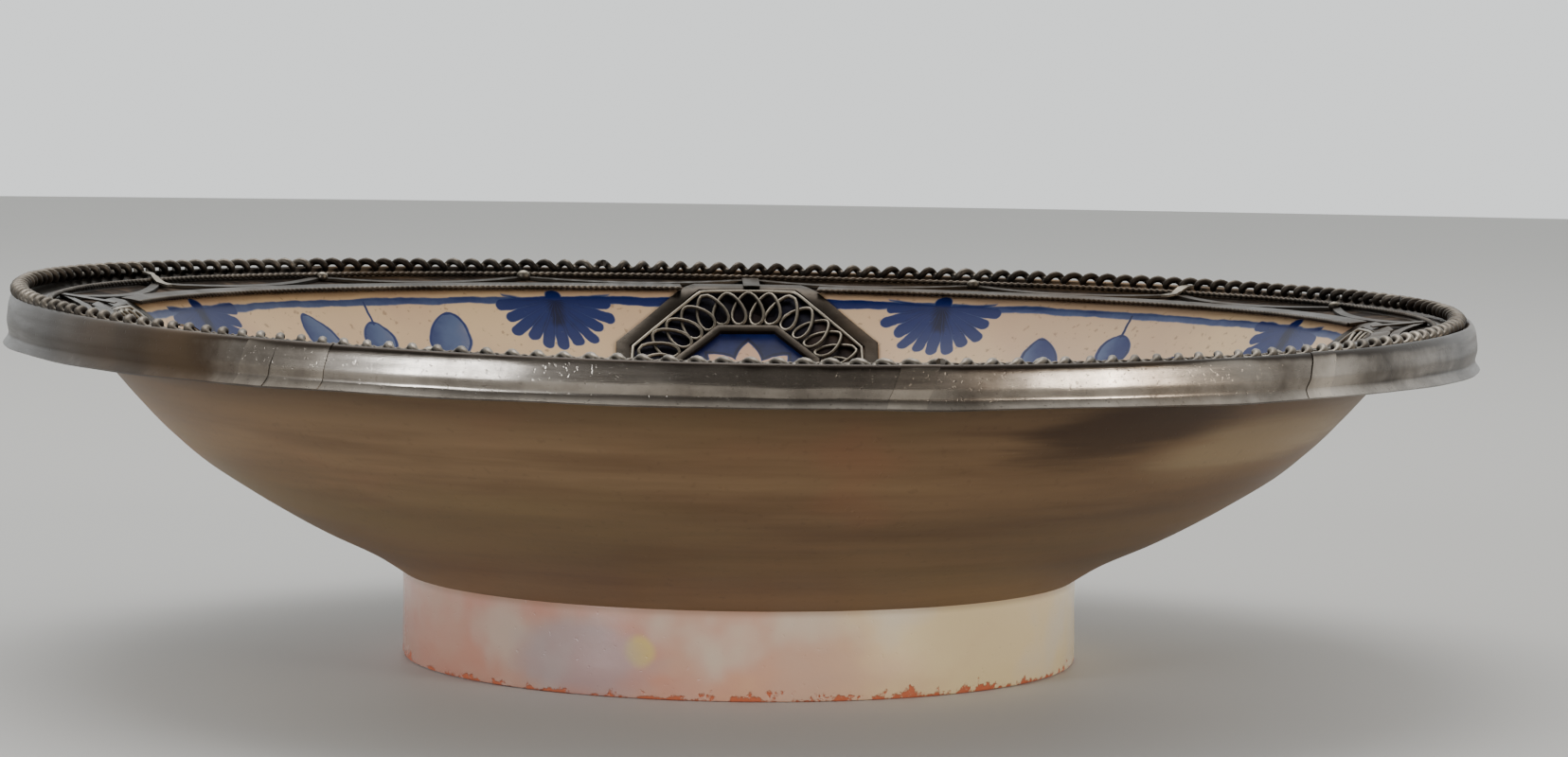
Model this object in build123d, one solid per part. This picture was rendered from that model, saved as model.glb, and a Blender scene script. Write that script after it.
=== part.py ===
from build123d import *
import math
import os

# A shallow footed bowl of glazed earthenware. A cage of nickel silver is folded over its rim:
# a binding band, a wire coil, a ring of scallops, an inner ring and octagonal medallions that
# hang from the ring down the inside of the wall. Millimetres, +Z up. The origin is on the axis,
# on the surface that the foot stands on. +Y is the direction of the first wall medallion.

# Driving dimensions
RIM_RADIUS = 175.0
FOOT_RADIUS = 80.9
FOOT_HEIGHT = 20.4
FOOT_RING_INNER_RADIUS = 70.0
FOOT_RECESS_HEIGHT = 9.0
FOOT_RECESS_CORNER = [(66.0, 9.0), (68.7, 7.6), (69.6, 5.0)]
FOOT_CHAMFERS = (0.8, 0.9)
COIL_DIAMETER = 3.6
COIL_CIRCLE_RADIUS = 170.6
COIL_SHELL = 0.35
COIL_FIRST_JOIN = 194.0
COIL_JOIN_ANGLE = 0.4
FLANGE_CORNER_RADIUS = 149.0
FLANGE_CORNER_HEIGHT = 80.4
FLANGE_SLOPE = math.tan(math.radians(7.0))

# Sheet metal and wire
BAND_SHEET = 0.6
LAP_SHEET = 0.35
STRIP_SHEET = 0.6
SURFACE_GAP = 0.15
JOINT_GAP = 0.05
TWIST_WIRE_RADIUS = 0.5

# Ceramic profile, as (radius, height) pairs
OUTER_WALL = [(80.9, 20.4), (87.5, 24.5), (102.0, 31.5), (117.7, 40.3), (130.7, 49.0),
              (140.3, 57.8), (148.2, 66.5), (154.0, 73.5)]
FLANGE_UNDERSIDE = [(154.0, 73.5), (158.5, 75.6), (164.0, 76.3), (171.0, 76.9)]
RIM_EDGE = [(171.0, 76.9), (172.4, 79.0), (171.2, 81.6), (168.6, 82.8)]
INNER_SURFACE = [(0.0, 16.0), (30.0, 16.7), (60.0, 20.2), (80.0, 27.0), (98.9, 36.8),
                 (114.4, 45.7), (126.8, 54.2), (135.8, 62.3), (143.5, 70.6), (147.6, 75.7),
                 (149.8, 78.4), (152.0, 80.1), (154.5, 80.9), (160.0, 81.75), (168.6, 82.8)]
FLANGE_TANGENT = (1.0, 0.0, FLANGE_SLOPE)
FLOOR_TANGENT = (1.0, 0.0, 0.0)
LINING_START = 0.04
OFFSET_SAMPLES = 60

# Binding band, from the lip's tip up to its shoulder, then its fold
BAND_OUTSIDE = [(175.0, 73.9), (173.8, 76.2), (174.1, 78.4), (172.7, 81.0), (171.5, 82.7),
                (169.8, 83.45)]
FOLD_TOP = (167.5, 83.4)
FOLD_EDGE = (165.2, 83.2)
LAP_ANGLES = [10.8, 44.1, 88.0, 132.0, 176.0, 222.0, 270.0, 324.3]
LAP_ROOT = 1.2
LAP_TONGUE = 2.4
SLEEVE_START = 324.3 + LAP_TONGUE + 0.3
SLEEVE_SPAN = 4.4

# Openwork on the flange
NODE_COUNT = 16
NODE_PITCH = 360.0 / NODE_COUNT
SCALLOP_NODE_RADIUS = 163.4
SCALLOP_MIDDLE_RADIUS = 155.25
SCALLOP_WIDTH = 2.2
SCALLOP_LIMIT_RADIUS = 164.6
INNER_RING_RADII = (149.6, 154.0)
INNER_WIRE_RADIUS = 149.05
OUTER_WIRE_RADIUS = 164.3
DOME_RADIUS = 1.3
DOME_CIRCLE_RADIUS = 162.6
CLIP_NODES = [3, 6, 11, 14]
CLIP_SIZE = (2.6, 4.6, 0.5)

# Octagonal medallions, all sizes across the flats
OCTAGON = 8
MEDALLION_WIDTH = 72.6
FRAME_WIDTH = 3.8
EDGE_WIRE_WIDTH = 0.9
LATTICE_WIDTH = 11.4
INNER_FRAME_WIDTH = 2.4
LATTICE_SHEET = 0.9
EDGE_WIRE_HEIGHT = 1.2
WALL_TOP = (155.3, 81.2)
WALL_BOTTOM = (98.2, 36.6)
CELLS_PER_SIDE = 4
CELL_SLOT = (8.9, 3.4)
WALL_MEDALLIONS = 4
QUARTER = 90.0

# Straps that link the medallions
LINK_PLATE_WIDTH = 5.0
LINK_PLATE_REACH = (151.6, 162.0)
LINK_STRAP_WIDTH = 6.0
PRISM_REACH = 40.0


def rz(points):
    """Turn (radius, height) pairs into points of the half plane that is revolved."""
    return [Vector(radius, 0, height) for radius, height in points]


def flange_height(radius):
    """Height of the ceramic flange's top at a radius."""
    return FLANGE_CORNER_HEIGHT + (radius - FLANGE_CORNER_RADIUS) * FLANGE_SLOPE


def offset_curve(curve, distance, start=0.0):
    """A spline at a distance from a profile curve, on the side to the left of its direction."""
    points = []
    for index in range(OFFSET_SAMPLES + 1):
        place = start + (1 - start) * index / OFFSET_SAMPLES
        tangent = curve.tangent_at(place)
        normal = Vector(-tangent.Z, 0, tangent.X)
        points.append(curve.position_at(place) + normal * distance)
    return Spline(*points)


def profile_between(curve, near, far, start=0.0):
    """The face between two offsets of a profile curve."""
    low = offset_curve(curve, near, start)
    high = offset_curve(curve, far, start)
    ends = [Line(low @ 1, high @ 1), Line(high @ 0, low @ 0)]
    return make_face([low, high] + ends)


def inner_surface():
    """The profile of the bowl's inside, from the axis to the rim."""
    return Spline(rz(INNER_SURFACE), tangents=(FLOOR_TANGENT, FLANGE_TANGENT))


def arc_sweep(face, start, span):
    """Revolve a profile face about the axis, from a start angle measured from -Y."""
    return Rot(0, 0, start - QUARTER) * revolve(face, Axis.Z, span)


def ceramic_bowl():
    """The thrown bowl: foot ring, wall, flange and rim in one revolved solid."""
    inside_chamfer, outside_chamfer = FOOT_CHAMFERS
    foot = [(0, FOOT_RECESS_HEIGHT), FOOT_RECESS_CORNER[0], FOOT_RECESS_CORNER[-1],
            (FOOT_RING_INNER_RADIUS, inside_chamfer),
            (FOOT_RING_INNER_RADIUS + inside_chamfer, 0), (FOOT_RADIUS - outside_chamfer, 0),
            (FOOT_RADIUS, outside_chamfer), (FOOT_RADIUS, FOOT_HEIGHT)]
    outline = [
        Line(rz(foot[:2])),
        Spline(rz(FOOT_RECESS_CORNER)),
        Polyline(rz(foot[2:])),
        Spline(rz(OUTER_WALL)),
        Spline(rz(FLANGE_UNDERSIDE)),
        Spline(rz(RIM_EDGE)),
        inner_surface(),
        Line(rz([(0, INNER_SURFACE[0][1]), (0, FOOT_RECESS_HEIGHT)])),
    ]
    return revolve(make_face(outline), Axis.Z, 360)


def band_curve():
    """Outside of the binding band: lip, neck, moulding and the fold over the rim."""
    return Spline(rz(BAND_OUTSIDE + [FOLD_TOP, FOLD_EDGE]))


def rim_band(start, end):
    """One strip of the binding, with a tongue that laps over the next strip."""
    curve = band_curve()
    body = arc_sweep(profile_between(curve, 0, BAND_SHEET), start, end - start - LAP_ROOT)
    root = arc_sweep(profile_between(curve, -LAP_SHEET, BAND_SHEET), end - LAP_ROOT, LAP_ROOT)
    tongue = arc_sweep(profile_between(curve, -LAP_SHEET, -JOINT_GAP / 2), end, LAP_TONGUE)
    return body + root + tongue


def rim_bands():
    """The strips, each from one lap to the next."""
    ends = LAP_ANGLES[1:] + [LAP_ANGLES[0] + 360.0]
    return [rim_band(start, end) for start, end in zip(LAP_ANGLES, ends)]


def rim_sleeve():
    """A short repair sleeve over the outside of the binding."""
    face = profile_between(band_curve(), -LAP_SHEET, -JOINT_GAP / 2)
    return arc_sweep(face, SLEEVE_START, SLEEVE_SPAN)


def coil_lengths():
    """Four lengths of the rim coil, each a thin tube of the coil's outer diameter."""
    height = BAND_OUTSIDE[-1][1] + LAP_SHEET + JOINT_GAP + COIL_DIAMETER / 2
    tube = Circle(COIL_DIAMETER / 2) - Circle(COIL_DIAMETER / 2 - COIL_SHELL)
    face = Plane(origin=(COIL_CIRCLE_RADIUS, 0, height), x_dir=(1, 0, 0), z_dir=(0, -1, 0)) * tube
    starts = [COIL_FIRST_JOIN + index * QUARTER for index in range(WALL_MEDALLIONS)]
    span = QUARTER - COIL_JOIN_ANGLE
    return [arc_sweep(face, start + COIL_JOIN_ANGLE / 2, span) for start in starts]


def flange_plate(low, high, inner, outer):
    """A full ring that lies on the flange, between two heights above it."""
    corners = [(inner, flange_height(inner) + low), (outer, flange_height(outer) + low),
               (outer, flange_height(outer) + high), (inner, flange_height(inner) + high)]
    points = rz(corners)
    lines = [Line(points[index - 1], points[index]) for index in range(len(points))]
    return revolve(make_face(lines), Axis.Z, 360)


def outer_twist_wire():
    """The twisted wire that edges the band's fold."""
    lift = SURFACE_GAP + STRIP_SHEET + TWIST_WIRE_RADIUS + JOINT_GAP
    height = flange_height(OUTER_WIRE_RADIUS) + lift
    return Pos(0, 0, height) * Torus(OUTER_WIRE_RADIUS, TWIST_WIRE_RADIUS)


def scallop_sketch(middle_angle):
    """One scallop: an arc of strip from node to node that bows in towards the axis."""
    half_pitch = math.radians(NODE_PITCH / 2)
    half_chord = SCALLOP_NODE_RADIUS * math.sin(half_pitch)
    sagitta = SCALLOP_NODE_RADIUS * math.cos(half_pitch) - SCALLOP_MIDDLE_RADIUS
    radius = (half_chord ** 2 + sagitta ** 2) / (2 * sagitta)
    ring = Circle(radius + SCALLOP_WIDTH / 2) - Circle(radius - SCALLOP_WIDTH / 2)
    reach = 2 * RIM_RADIUS
    side = reach * math.tan(half_pitch)
    wedge = make_face(Polyline((0, 0), (reach, -side), (reach, side), close=True))
    arc = (Pos(SCALLOP_MIDDLE_RADIUS + radius, 0) * ring) & wedge & Circle(SCALLOP_LIMIT_RADIUS)
    return Rot(0, 0, middle_angle) * arc


def scallop_strips():
    """The scalloped strip in four quarters, each with four scallops."""
    plate = flange_plate(SURFACE_GAP, SURFACE_GAP + STRIP_SHEET, INNER_RING_RADII[1],
                         SCALLOP_LIMIT_RADIUS)
    scallops = NODE_COUNT // WALL_MEDALLIONS
    quarters = []
    for quarter in range(WALL_MEDALLIONS):
        first = QUARTER * quarter + NODE_PITCH / 2
        sketch = Sketch() + [scallop_sketch(first + NODE_PITCH * n) for n in range(scallops)]
        prism = extrude(sketch, RIM_RADIUS)
        gap = Rot(0, 0, QUARTER * quarter) * Box(4 * RIM_RADIUS, 2 * JOINT_GAP, 2 * RIM_RADIUS)
        far_gap = Rot(0, 0, QUARTER) * gap
        quarters.append((prism & plate) - gap - far_gap)
    return quarters


def wall_plane():
    """The plane of the first wall medallion, square to the wall at its middle."""
    span = (WALL_TOP[0] - WALL_BOTTOM[0], WALL_TOP[1] - WALL_BOTTOM[1])
    middle = ((WALL_TOP[0] + WALL_BOTTOM[0]) / 2, (WALL_TOP[1] + WALL_BOTTOM[1]) / 2)
    return Plane(origin=(0, middle[0], middle[1]), x_dir=(1, 0, 0), z_dir=(0, -span[1], span[0]))


def octagon(width):
    """An octagon of a width across its flats, with flats up and down."""
    return RegularPolygon(width / 2, OCTAGON, major_radius=False, rotation=QUARTER / 4)


def octagon_prism(plane, width):
    """A solid octagon that passes through the wall or floor at a plane."""
    return extrude(plane * octagon(width), PRISM_REACH, both=True)


def without_medallions(ring):
    """Cut a ring where the four wall medallions cross it, and sort the lengths by angle."""
    for index in range(WALL_MEDALLIONS):
        cutter = octagon_prism(wall_plane(), MEDALLION_WIDTH + 4 * JOINT_GAP)
        ring = ring - Rot(0, 0, QUARTER * index) * cutter
    return sorted(ring.solids(), key=lambda solid: math.atan2(solid.center().Y, solid.center().X))


def inner_rings():
    """The inner ring, in four lengths between the medallions."""
    inner, outer = INNER_RING_RADII
    plate = flange_plate(SURFACE_GAP, SURFACE_GAP + STRIP_SHEET, inner, outer)
    return without_medallions(plate)


def inner_twist_wires():
    """The twisted wire along the inner ring's edge, in four lengths."""
    height = flange_height(INNER_RING_RADII[0]) + SURFACE_GAP + STRIP_SHEET / 2
    return without_medallions(Pos(0, 0, height) * Torus(INNER_WIRE_RADIUS, TWIST_WIRE_RADIUS))


def on_node(index, radius, lift):
    """A place on a node of the scalloped strip, lying in the flange's slope."""
    slope = math.degrees(math.atan(FLANGE_SLOPE))
    turn = Rot(0, 0, QUARTER + NODE_PITCH * index)
    return turn * Pos(radius, 0, flange_height(radius) + lift) * Rot(0, -slope, 0)


def node_domes():
    """A solder dome on each node that has no clip and no link plate."""
    above = Pos(0, 0, DOME_RADIUS) * Box(3 * DOME_RADIUS, 3 * DOME_RADIUS, 2 * DOME_RADIUS)
    half = Sphere(DOME_RADIUS) & above
    lift = SURFACE_GAP + STRIP_SHEET + JOINT_GAP
    step = NODE_COUNT // WALL_MEDALLIONS
    nodes = [n for n in range(NODE_COUNT) if n % step and n not in CLIP_NODES]
    return Compound(children=[on_node(n, DOME_CIRCLE_RADIUS, lift) * half for n in nodes])


def rim_clips():
    """Small straps that tie the scalloped strip at some of its nodes."""
    width, length, sheet = CLIP_SIZE
    lift = SURFACE_GAP + STRIP_SHEET + sheet / 2 + JOINT_GAP
    radius = SCALLOP_NODE_RADIUS - length / 2
    clip = Box(length, width, sheet)
    return Compound(children=[on_node(n, radius, lift) * clip for n in CLIP_NODES])


def link_plate():
    """A plate from a scallop node to the top side of a wall medallion."""
    low = SURFACE_GAP + STRIP_SHEET + JOINT_GAP
    ring = flange_plate(low, low + STRIP_SHEET, *LINK_PLATE_REACH)
    bar = Pos(0, RIM_RADIUS, 0) * Box(LINK_PLATE_WIDTH, 2 * RIM_RADIUS, 2 * RIM_RADIUS)
    return ring & bar


def lining_shell(low, high):
    """A shell that follows the bowl's inside, between two heights above its surface."""
    face = profile_between(inner_surface(), low, high, LINING_START)
    return Rot(0, 0, QUARTER) * revolve(face, Axis.Z, 360)


def octagon_band(plane, shell, outer, inner):
    """The part of a shell between two octagons of a medallion."""
    return (octagon_prism(plane, outer) - octagon_prism(plane, inner)) & shell


def lattice_cutter(plane, middle_width):
    """The openings of a lattice: rounded slots that stand across the band, side by side."""
    side = middle_width * math.tan(math.pi / OCTAGON)
    length, width = CELL_SLOT
    slots = []
    for side_index in range(OCTAGON):
        turn = Rot(0, 0, side_index * 360.0 / OCTAGON)
        for cell in range(CELLS_PER_SIDE):
            along = (cell - (CELLS_PER_SIDE - 1) / 2) * side / CELLS_PER_SIDE
            place = turn * Pos(along, middle_width / 2)
            slots.append(place * SlotOverall(length, width, rotation=QUARTER))
    return extrude(plane * (Sketch() + slots), PRISM_REACH, both=True)


def medallion(plane):
    """Frame, edge wire, lattice and inner frame of one octagonal medallion."""
    low = SURFACE_GAP
    frame_inside = MEDALLION_WIDTH - 2 * FRAME_WIDTH
    wire_inside = frame_inside - 2 * EDGE_WIRE_WIDTH
    lattice_inside = wire_inside - 2 * LATTICE_WIDTH
    opening = lattice_inside - 2 * INNER_FRAME_WIDTH
    sheet = lining_shell(low, low + STRIP_SHEET)
    raised = lining_shell(low, low + EDGE_WIRE_HEIGHT)
    thick = lining_shell(low, low + LATTICE_SHEET)
    lattice = octagon_band(plane, thick, wire_inside - JOINT_GAP, lattice_inside)
    cutter = lattice_cutter(plane, (wire_inside + lattice_inside) / 2)
    return {
        "frame": octagon_band(plane, sheet, MEDALLION_WIDTH, frame_inside),
        "edge_wire": octagon_band(plane, raised, frame_inside - JOINT_GAP, wire_inside),
        "lattice": lattice - cutter,
        "inner_frame": octagon_band(plane, thick, lattice_inside - JOINT_GAP, opening),
    }


def link_strap():
    """A strap down the wall from a wall medallion to the centre medallion."""
    shell = lining_shell(SURFACE_GAP, SURFACE_GAP + STRIP_SHEET)
    bar = Pos(0, RIM_RADIUS / 2, 0) * Box(LINK_STRAP_WIDTH, RIM_RADIUS, 4 * RIM_RADIUS)
    clearance = 4 * JOINT_GAP
    strap = (shell & bar) - octagon_prism(wall_plane(), MEDALLION_WIDTH + clearance)
    strap = strap - octagon_prism(Plane.XY, MEDALLION_WIDTH + clearance)
    return sorted(strap.solids(), key=lambda solid: solid.center().Y)[0]


def quarter_turns(name, shape):
    """Four copies of a shape, one for each wall medallion."""
    turns = range(WALL_MEDALLIONS)
    return {f"{name}_{index + 1}": Rot(0, 0, QUARTER * index) * shape for index in turns}


def numbered(name, shapes):
    """Name a row of shapes name_1, name_2 and so on."""
    return {f"{name}_{index + 1}": shape for index, shape in enumerate(shapes)}


def all_parts():
    """Every piece of the bowl by its name."""
    parts = {"ceramic_bowl": ceramic_bowl()}
    parts.update(numbered("rim_band", rim_bands()))
    parts["rim_sleeve"] = rim_sleeve()
    parts.update(numbered("rim_coil", coil_lengths()))
    parts["outer_twist_wire"] = outer_twist_wire()
    parts.update(numbered("scallop_strip", scallop_strips()))
    parts.update(numbered("inner_ring", inner_rings()))
    parts.update(numbered("inner_twist_wire", inner_twist_wires()))
    parts["node_domes"] = node_domes()
    parts["rim_clips"] = rim_clips()
    parts.update(quarter_turns("link_plate", link_plate()))
    for piece, shape in medallion(wall_plane()).items():
        parts.update(quarter_turns(f"wall_medallion_{piece}", shape))
    for piece, shape in medallion(Plane.XY).items():
        parts[f"centre_medallion_{piece}"] = shape
    parts.update(quarter_turns("link_strap", link_strap()))
    return parts


os.makedirs("parts", exist_ok=True)
for part_name, part_shape in all_parts().items():
    export_step(part_shape, f"parts/{part_name}.step")
    print(part_name, round(part_shape.volume, 1))
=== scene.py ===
# %% [markdown]
# # A glazed bowl in a metal cage
#
# The object is a wide, shallow earthenware bowl on a straight foot ring. A cage of tarnished
# nickel silver is folded over its rim: sheet strips bind the edge, a wire coil runs along the
# top, scallops and rings cross the flange, and octagonal medallions of wire lattice hang down
# the inside wall. The packed model already gives every piece its place. Here each piece gets
# the shape and the surface that a close look shows.

# %% Load the packed model
import math
import bmesh
import bpy
import numpy as np
from mathutils import Euler, Matrix, Vector, noise


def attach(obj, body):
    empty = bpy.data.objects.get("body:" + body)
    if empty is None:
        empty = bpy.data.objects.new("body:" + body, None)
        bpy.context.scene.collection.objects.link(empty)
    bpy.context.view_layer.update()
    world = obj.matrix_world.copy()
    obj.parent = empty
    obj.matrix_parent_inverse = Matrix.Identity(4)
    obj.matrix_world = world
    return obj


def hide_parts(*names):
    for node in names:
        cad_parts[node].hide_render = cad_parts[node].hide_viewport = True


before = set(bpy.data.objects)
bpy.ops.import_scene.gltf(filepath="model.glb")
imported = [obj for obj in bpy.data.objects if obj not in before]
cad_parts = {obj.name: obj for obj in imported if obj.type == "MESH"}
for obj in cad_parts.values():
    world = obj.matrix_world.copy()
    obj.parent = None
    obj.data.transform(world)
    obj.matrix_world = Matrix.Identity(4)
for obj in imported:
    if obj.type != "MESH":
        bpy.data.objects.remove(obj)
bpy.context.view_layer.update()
MM = 0.001
TURN = 2 * math.pi
RIM_RADIUS = 175.0 * MM

# %% [markdown]
# ## The camera
#
# The bowl is seen from a little above its rim, through a long lens. A camera looks down its own
# -Z with +Y up, so it is first laid over to face +Y, then tipped down and rolled a little. A
# long lens from far away keeps the near and the far side of the rim alike in size.

# %% Place the camera
CAMERA_PLACE = Vector((0.057, -5.638, 0.7734)) * RIM_RADIUS
CAMERA_TIP = math.radians(3.975)
CAMERA_ROLL = math.radians(0.84)
camera_data = bpy.data.cameras.new("camera")
camera_data.lens = 94.3
camera_data.sensor_width = 36.0
camera = bpy.data.objects.new("camera", camera_data)
turned = Euler((math.pi / 2 - CAMERA_TIP, 0, 0)).to_matrix() @ Matrix.Rotation(CAMERA_ROLL, 3, "Z")
camera.matrix_world = Matrix.Translation(CAMERA_PLACE) @ turned.to_4x4()
bpy.context.scene.collection.objects.link(camera)
bpy.context.scene.camera = camera
print("camera at", tuple(round(value, 4) for value in CAMERA_PLACE))

# %% [markdown]
# ## Lines that everything hangs on
#
# A thrown pot is a line turned about an axis. The inside line matters most, because the
# metalwork is bent to it. A few points are enough: a smooth curve is run through them, and
# its length is measured so that a place on the wall can be given as "so far down from the
# flange". np.gradient gives each point a tangent and a cubic blend joins the points.


# %% A smooth line through a few points
def smooth_line(points, steps):
    """Points along a smooth curve through a few (radius, height) points, in metres."""
    knots = np.array(points) * MM
    chords = np.hypot(*np.diff(knots, axis=0).T)
    place = np.concatenate(([0.0], np.cumsum(chords)))
    tangents = np.gradient(knots, place, axis=0)
    line = []
    for at in np.linspace(0, place[-1], steps):
        span = min(int(np.searchsorted(place, at, side="right")) - 1, len(chords) - 1)
        width = chords[span]
        t = (at - place[span]) / width
        start = (2 * t**3 - 3 * t**2 + 1) * knots[span] + (t**3 - 2 * t**2 + t) * width * tangents[span]
        end = (3 * t**2 - 2 * t**3) * knots[span + 1] + (t**3 - t**2) * width * tangents[span + 1]
        line.append(start + end)
    return np.array(line)


INSIDE_POINTS = [(0.0, 16.0), (30.0, 16.7), (60.0, 20.2), (80.0, 27.0), (98.9, 36.8), (114.4, 45.7),
                 (126.8, 54.2), (135.8, 62.3), (143.5, 70.6), (147.6, 75.7), (149.8, 78.4),
                 (152.0, 80.1), (154.5, 80.9), (160.0, 81.75), (168.6, 82.8)]
CORNER_RADIUS = 152.0 * MM
FLANGE_RADIUS = 149.0 * MM
FLANGE_HEIGHT = 80.4 * MM
FLANGE_SLOPE = math.radians(7.0)
inside_line = smooth_line(INSIDE_POINTS, 150)
inside_length = np.concatenate(([0.0], np.cumsum(np.hypot(*np.diff(inside_line, axis=0).T))))
corner_length = np.interp(CORNER_RADIUS, inside_line[:, 0], inside_length)
inside_slope = np.arctan2(*np.gradient(inside_line, axis=0).T[::-1])
print("floor to flange", round(corner_length / MM, 1), "mm")


# %% [markdown]
# ## Finding a place on the bowl
#
# The metalwork lies on three surfaces: the steep wall, the flatter flange and the floor. A
# Shrinkwrap modifier could press a piece onto them, but it would have to be set up for every
# piece. Functions that turn "so far across and so far down" into a point serve all of them
# alike, and the height above the surface is one more number, which gives a sheet its thickness.

# %% Places on the wall, the flange and the floor
def inside_at(down):
    """Radius, height and slope of the inside line at a distance down from the flange's corner."""
    length = corner_length - down
    values = (inside_line[:, 0], inside_line[:, 1], inside_slope)
    return tuple(float(np.interp(length, inside_length, column)) for column in values)


def down_at(radius):
    """Distance down the inside line at a radius."""
    return corner_length - float(np.interp(radius, inside_line[:, 0], inside_length))


def polar(angle, radius, height):
    """A point from its angle, measured from +Y towards +X, its radius and its height."""
    return Vector((radius * math.sin(angle), radius * math.cos(angle), height))


def on_wall(angle, across, down, lift):
    """A point above the wall: so far across a medallion's middle line, and so far down."""
    radius, height, slope = inside_at(down)
    turn = angle + across / max(radius, 1 * MM)
    return polar(turn, radius - lift * math.sin(slope), height + lift * math.cos(slope))


def on_flange(angle, radius, lift):
    """A point above the straight line of the flange, which runs on over the wall's corner."""
    height = FLANGE_HEIGHT + (radius - FLANGE_RADIUS) * math.tan(FLANGE_SLOPE)
    return polar(angle, radius, height + lift)


def on_floor(x, y, lift):
    """A point above the floor of the bowl."""
    radius, height, slope = inside_at(down_at(math.hypot(x, y)))
    return polar(math.atan2(x, y), radius - lift * math.sin(slope), height + lift * math.cos(slope))


print("the flange's corner is at", round(inside_at(0.0)[0] / MM, 1), "mm from the axis")

# %% [markdown]
# ## Numbers that change over a surface
#
# A painted pattern is arithmetic on the surface: how far from the stem, how far past the tip.
# In a material that is a row of Math nodes. Written one by one they are hard to read, so this
# small class lets a formula be written as a formula. Each operation adds one Math node.


# %% Arithmetic with Math nodes
class Field:
    """A number that changes over the surface: the output of a node."""

    def __init__(self, tree, socket):
        self.tree = tree
        self.socket = socket

    def math(self, operation, *others, swap=False):
        node = self.tree.nodes.new("ShaderNodeMath")
        node.operation = operation
        values = (*others, self) if swap else (self, *others)
        for place, value in enumerate(values):
            plug(self.tree, value, node.inputs[place])
        return Field(self.tree, node.outputs[0])

    def __add__(self, other):
        return self.math("ADD", other)

    def __sub__(self, other):
        return self.math("SUBTRACT", other)

    def __rsub__(self, other):
        return self.math("SUBTRACT", other, swap=True)

    def __mul__(self, other):
        return self.math("MULTIPLY", other)

    def __truediv__(self, other):
        return self.math("DIVIDE", other)

    def __pow__(self, other):
        return self.math("POWER", other)

    def __abs__(self):
        return self.math("ABSOLUTE")

    def least(self, other):
        return self.math("MINIMUM", other)

    def most(self, other):
        return self.math("MAXIMUM", other)

    def between(self, low, high):
        """0 at low and 1 at high, smooth between, whichever of the two is larger."""
        node = self.tree.nodes.new("ShaderNodeMapRange")
        node.interpolation_type = "SMOOTHSTEP"
        plug(self.tree, self, node.inputs["Value"])
        plug(self.tree, low, node.inputs["From Min"])
        plug(self.tree, high, node.inputs["From Max"])
        return Field(self.tree, node.outputs["Result"])


def plug(tree, value, socket):
    """Link a field or a socket into a socket, or set a plain value on it."""
    if isinstance(value, Field):
        tree.links.new(value.socket, socket)
    elif isinstance(value, bpy.types.NodeSocket):
        tree.links.new(value, socket)
    else:
        socket.default_value = value


def far(first, second):
    """Length of the diagonal of two fields."""
    return (first * first + second * second) ** 0.5


operations = [name for name, part in vars(Field).items() if callable(part) and name != "__init__"]
print("operations on a field", len(operations))


# %% [markdown]
# ## Nodes without repetition
#
# Every glaze and metal here is built from the same few parts: a noise, a mix of two colours, a
# bump. They could be added by hand in the shader editor each time. As functions, each takes one
# readable line in a finish, and two finishes can be compared side by side. Colours are written
# as a screen shows them and made linear, because shaders work with linear light.

# %% Small helpers for node trees
def colour(red, green, blue):
    """A screen colour, 0 to 255, as the linear colour that shaders use."""
    linear = [((value / 255 + 0.055) / 1.055) ** 2.4 for value in (red, green, blue)]
    return (*linear, 1.0)


def mix_colours(tree, share, first, second):
    """A colour between two others by a field from 0 to 1."""
    node = tree.nodes.new("ShaderNodeMix")
    node.data_type = "RGBA"
    plug(tree, share, node.inputs["Factor"])
    plug(tree, first, node.inputs["A"])
    plug(tree, second, node.inputs["B"])
    return node.outputs["Result"]


def noise_field(tree, place, scale, detail=3.0, roughness=0.5, stretch=(1, 1, 1), shift=(0, 0, 0)):
    """Noise over the surface, with the pattern stretched and moved by a Mapping node."""
    mapping = tree.nodes.new("ShaderNodeMapping")
    mapping.inputs["Scale"].default_value = stretch
    mapping.inputs["Location"].default_value = shift
    plug(tree, place, mapping.inputs["Vector"])
    node = tree.nodes.new("ShaderNodeTexNoise")
    node.inputs["Scale"].default_value = scale
    node.inputs["Detail"].default_value = detail
    node.inputs["Roughness"].default_value = roughness
    plug(tree, mapping.outputs["Vector"], node.inputs["Vector"])
    return Field(tree, node.outputs["Fac"])


def object_place(tree):
    """The surface's own place in the object: a vector socket and its three fields."""
    place = tree.nodes.new("ShaderNodeTexCoord").outputs["Object"]
    split = tree.nodes.new("ShaderNodeSeparateXYZ")
    tree.links.new(place, split.inputs["Vector"])
    return place, [Field(tree, split.outputs[axis]) for axis in "XYZ"]


def new_group(name, inputs, outputs):
    """A shader node group with named inputs, given as name: (kind, value), and outputs."""
    group = bpy.data.node_groups.new(name, "ShaderNodeTree")
    for label, (kind, value) in inputs.items():
        socket = group.interface.new_socket(label, in_out="INPUT", socket_type=kind)
        socket.default_value = value
    for label, kind in outputs.items():
        group.interface.new_socket(label, in_out="OUTPUT", socket_type=kind)
    return group, group.nodes.new("NodeGroupInput"), group.nodes.new("NodeGroupOutput")


def new_material(name, roughness, metallic=0.0):
    """A material with one Principled shader, its tree and that shader."""
    material = bpy.data.materials.new(name)
    material.use_nodes = True
    shader = material.node_tree.nodes["Principled BSDF"]
    shader.inputs["Roughness"].default_value = roughness
    shader.inputs["Metallic"].default_value = metallic
    return material, material.node_tree, shader


def place_group(tree, group, values):
    """A group in a material, with its own values."""
    node = tree.nodes.new("ShaderNodeGroup")
    node.node_tree = group
    for label, value in values.items():
        plug(tree, value, node.inputs[label])
    return node


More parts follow.
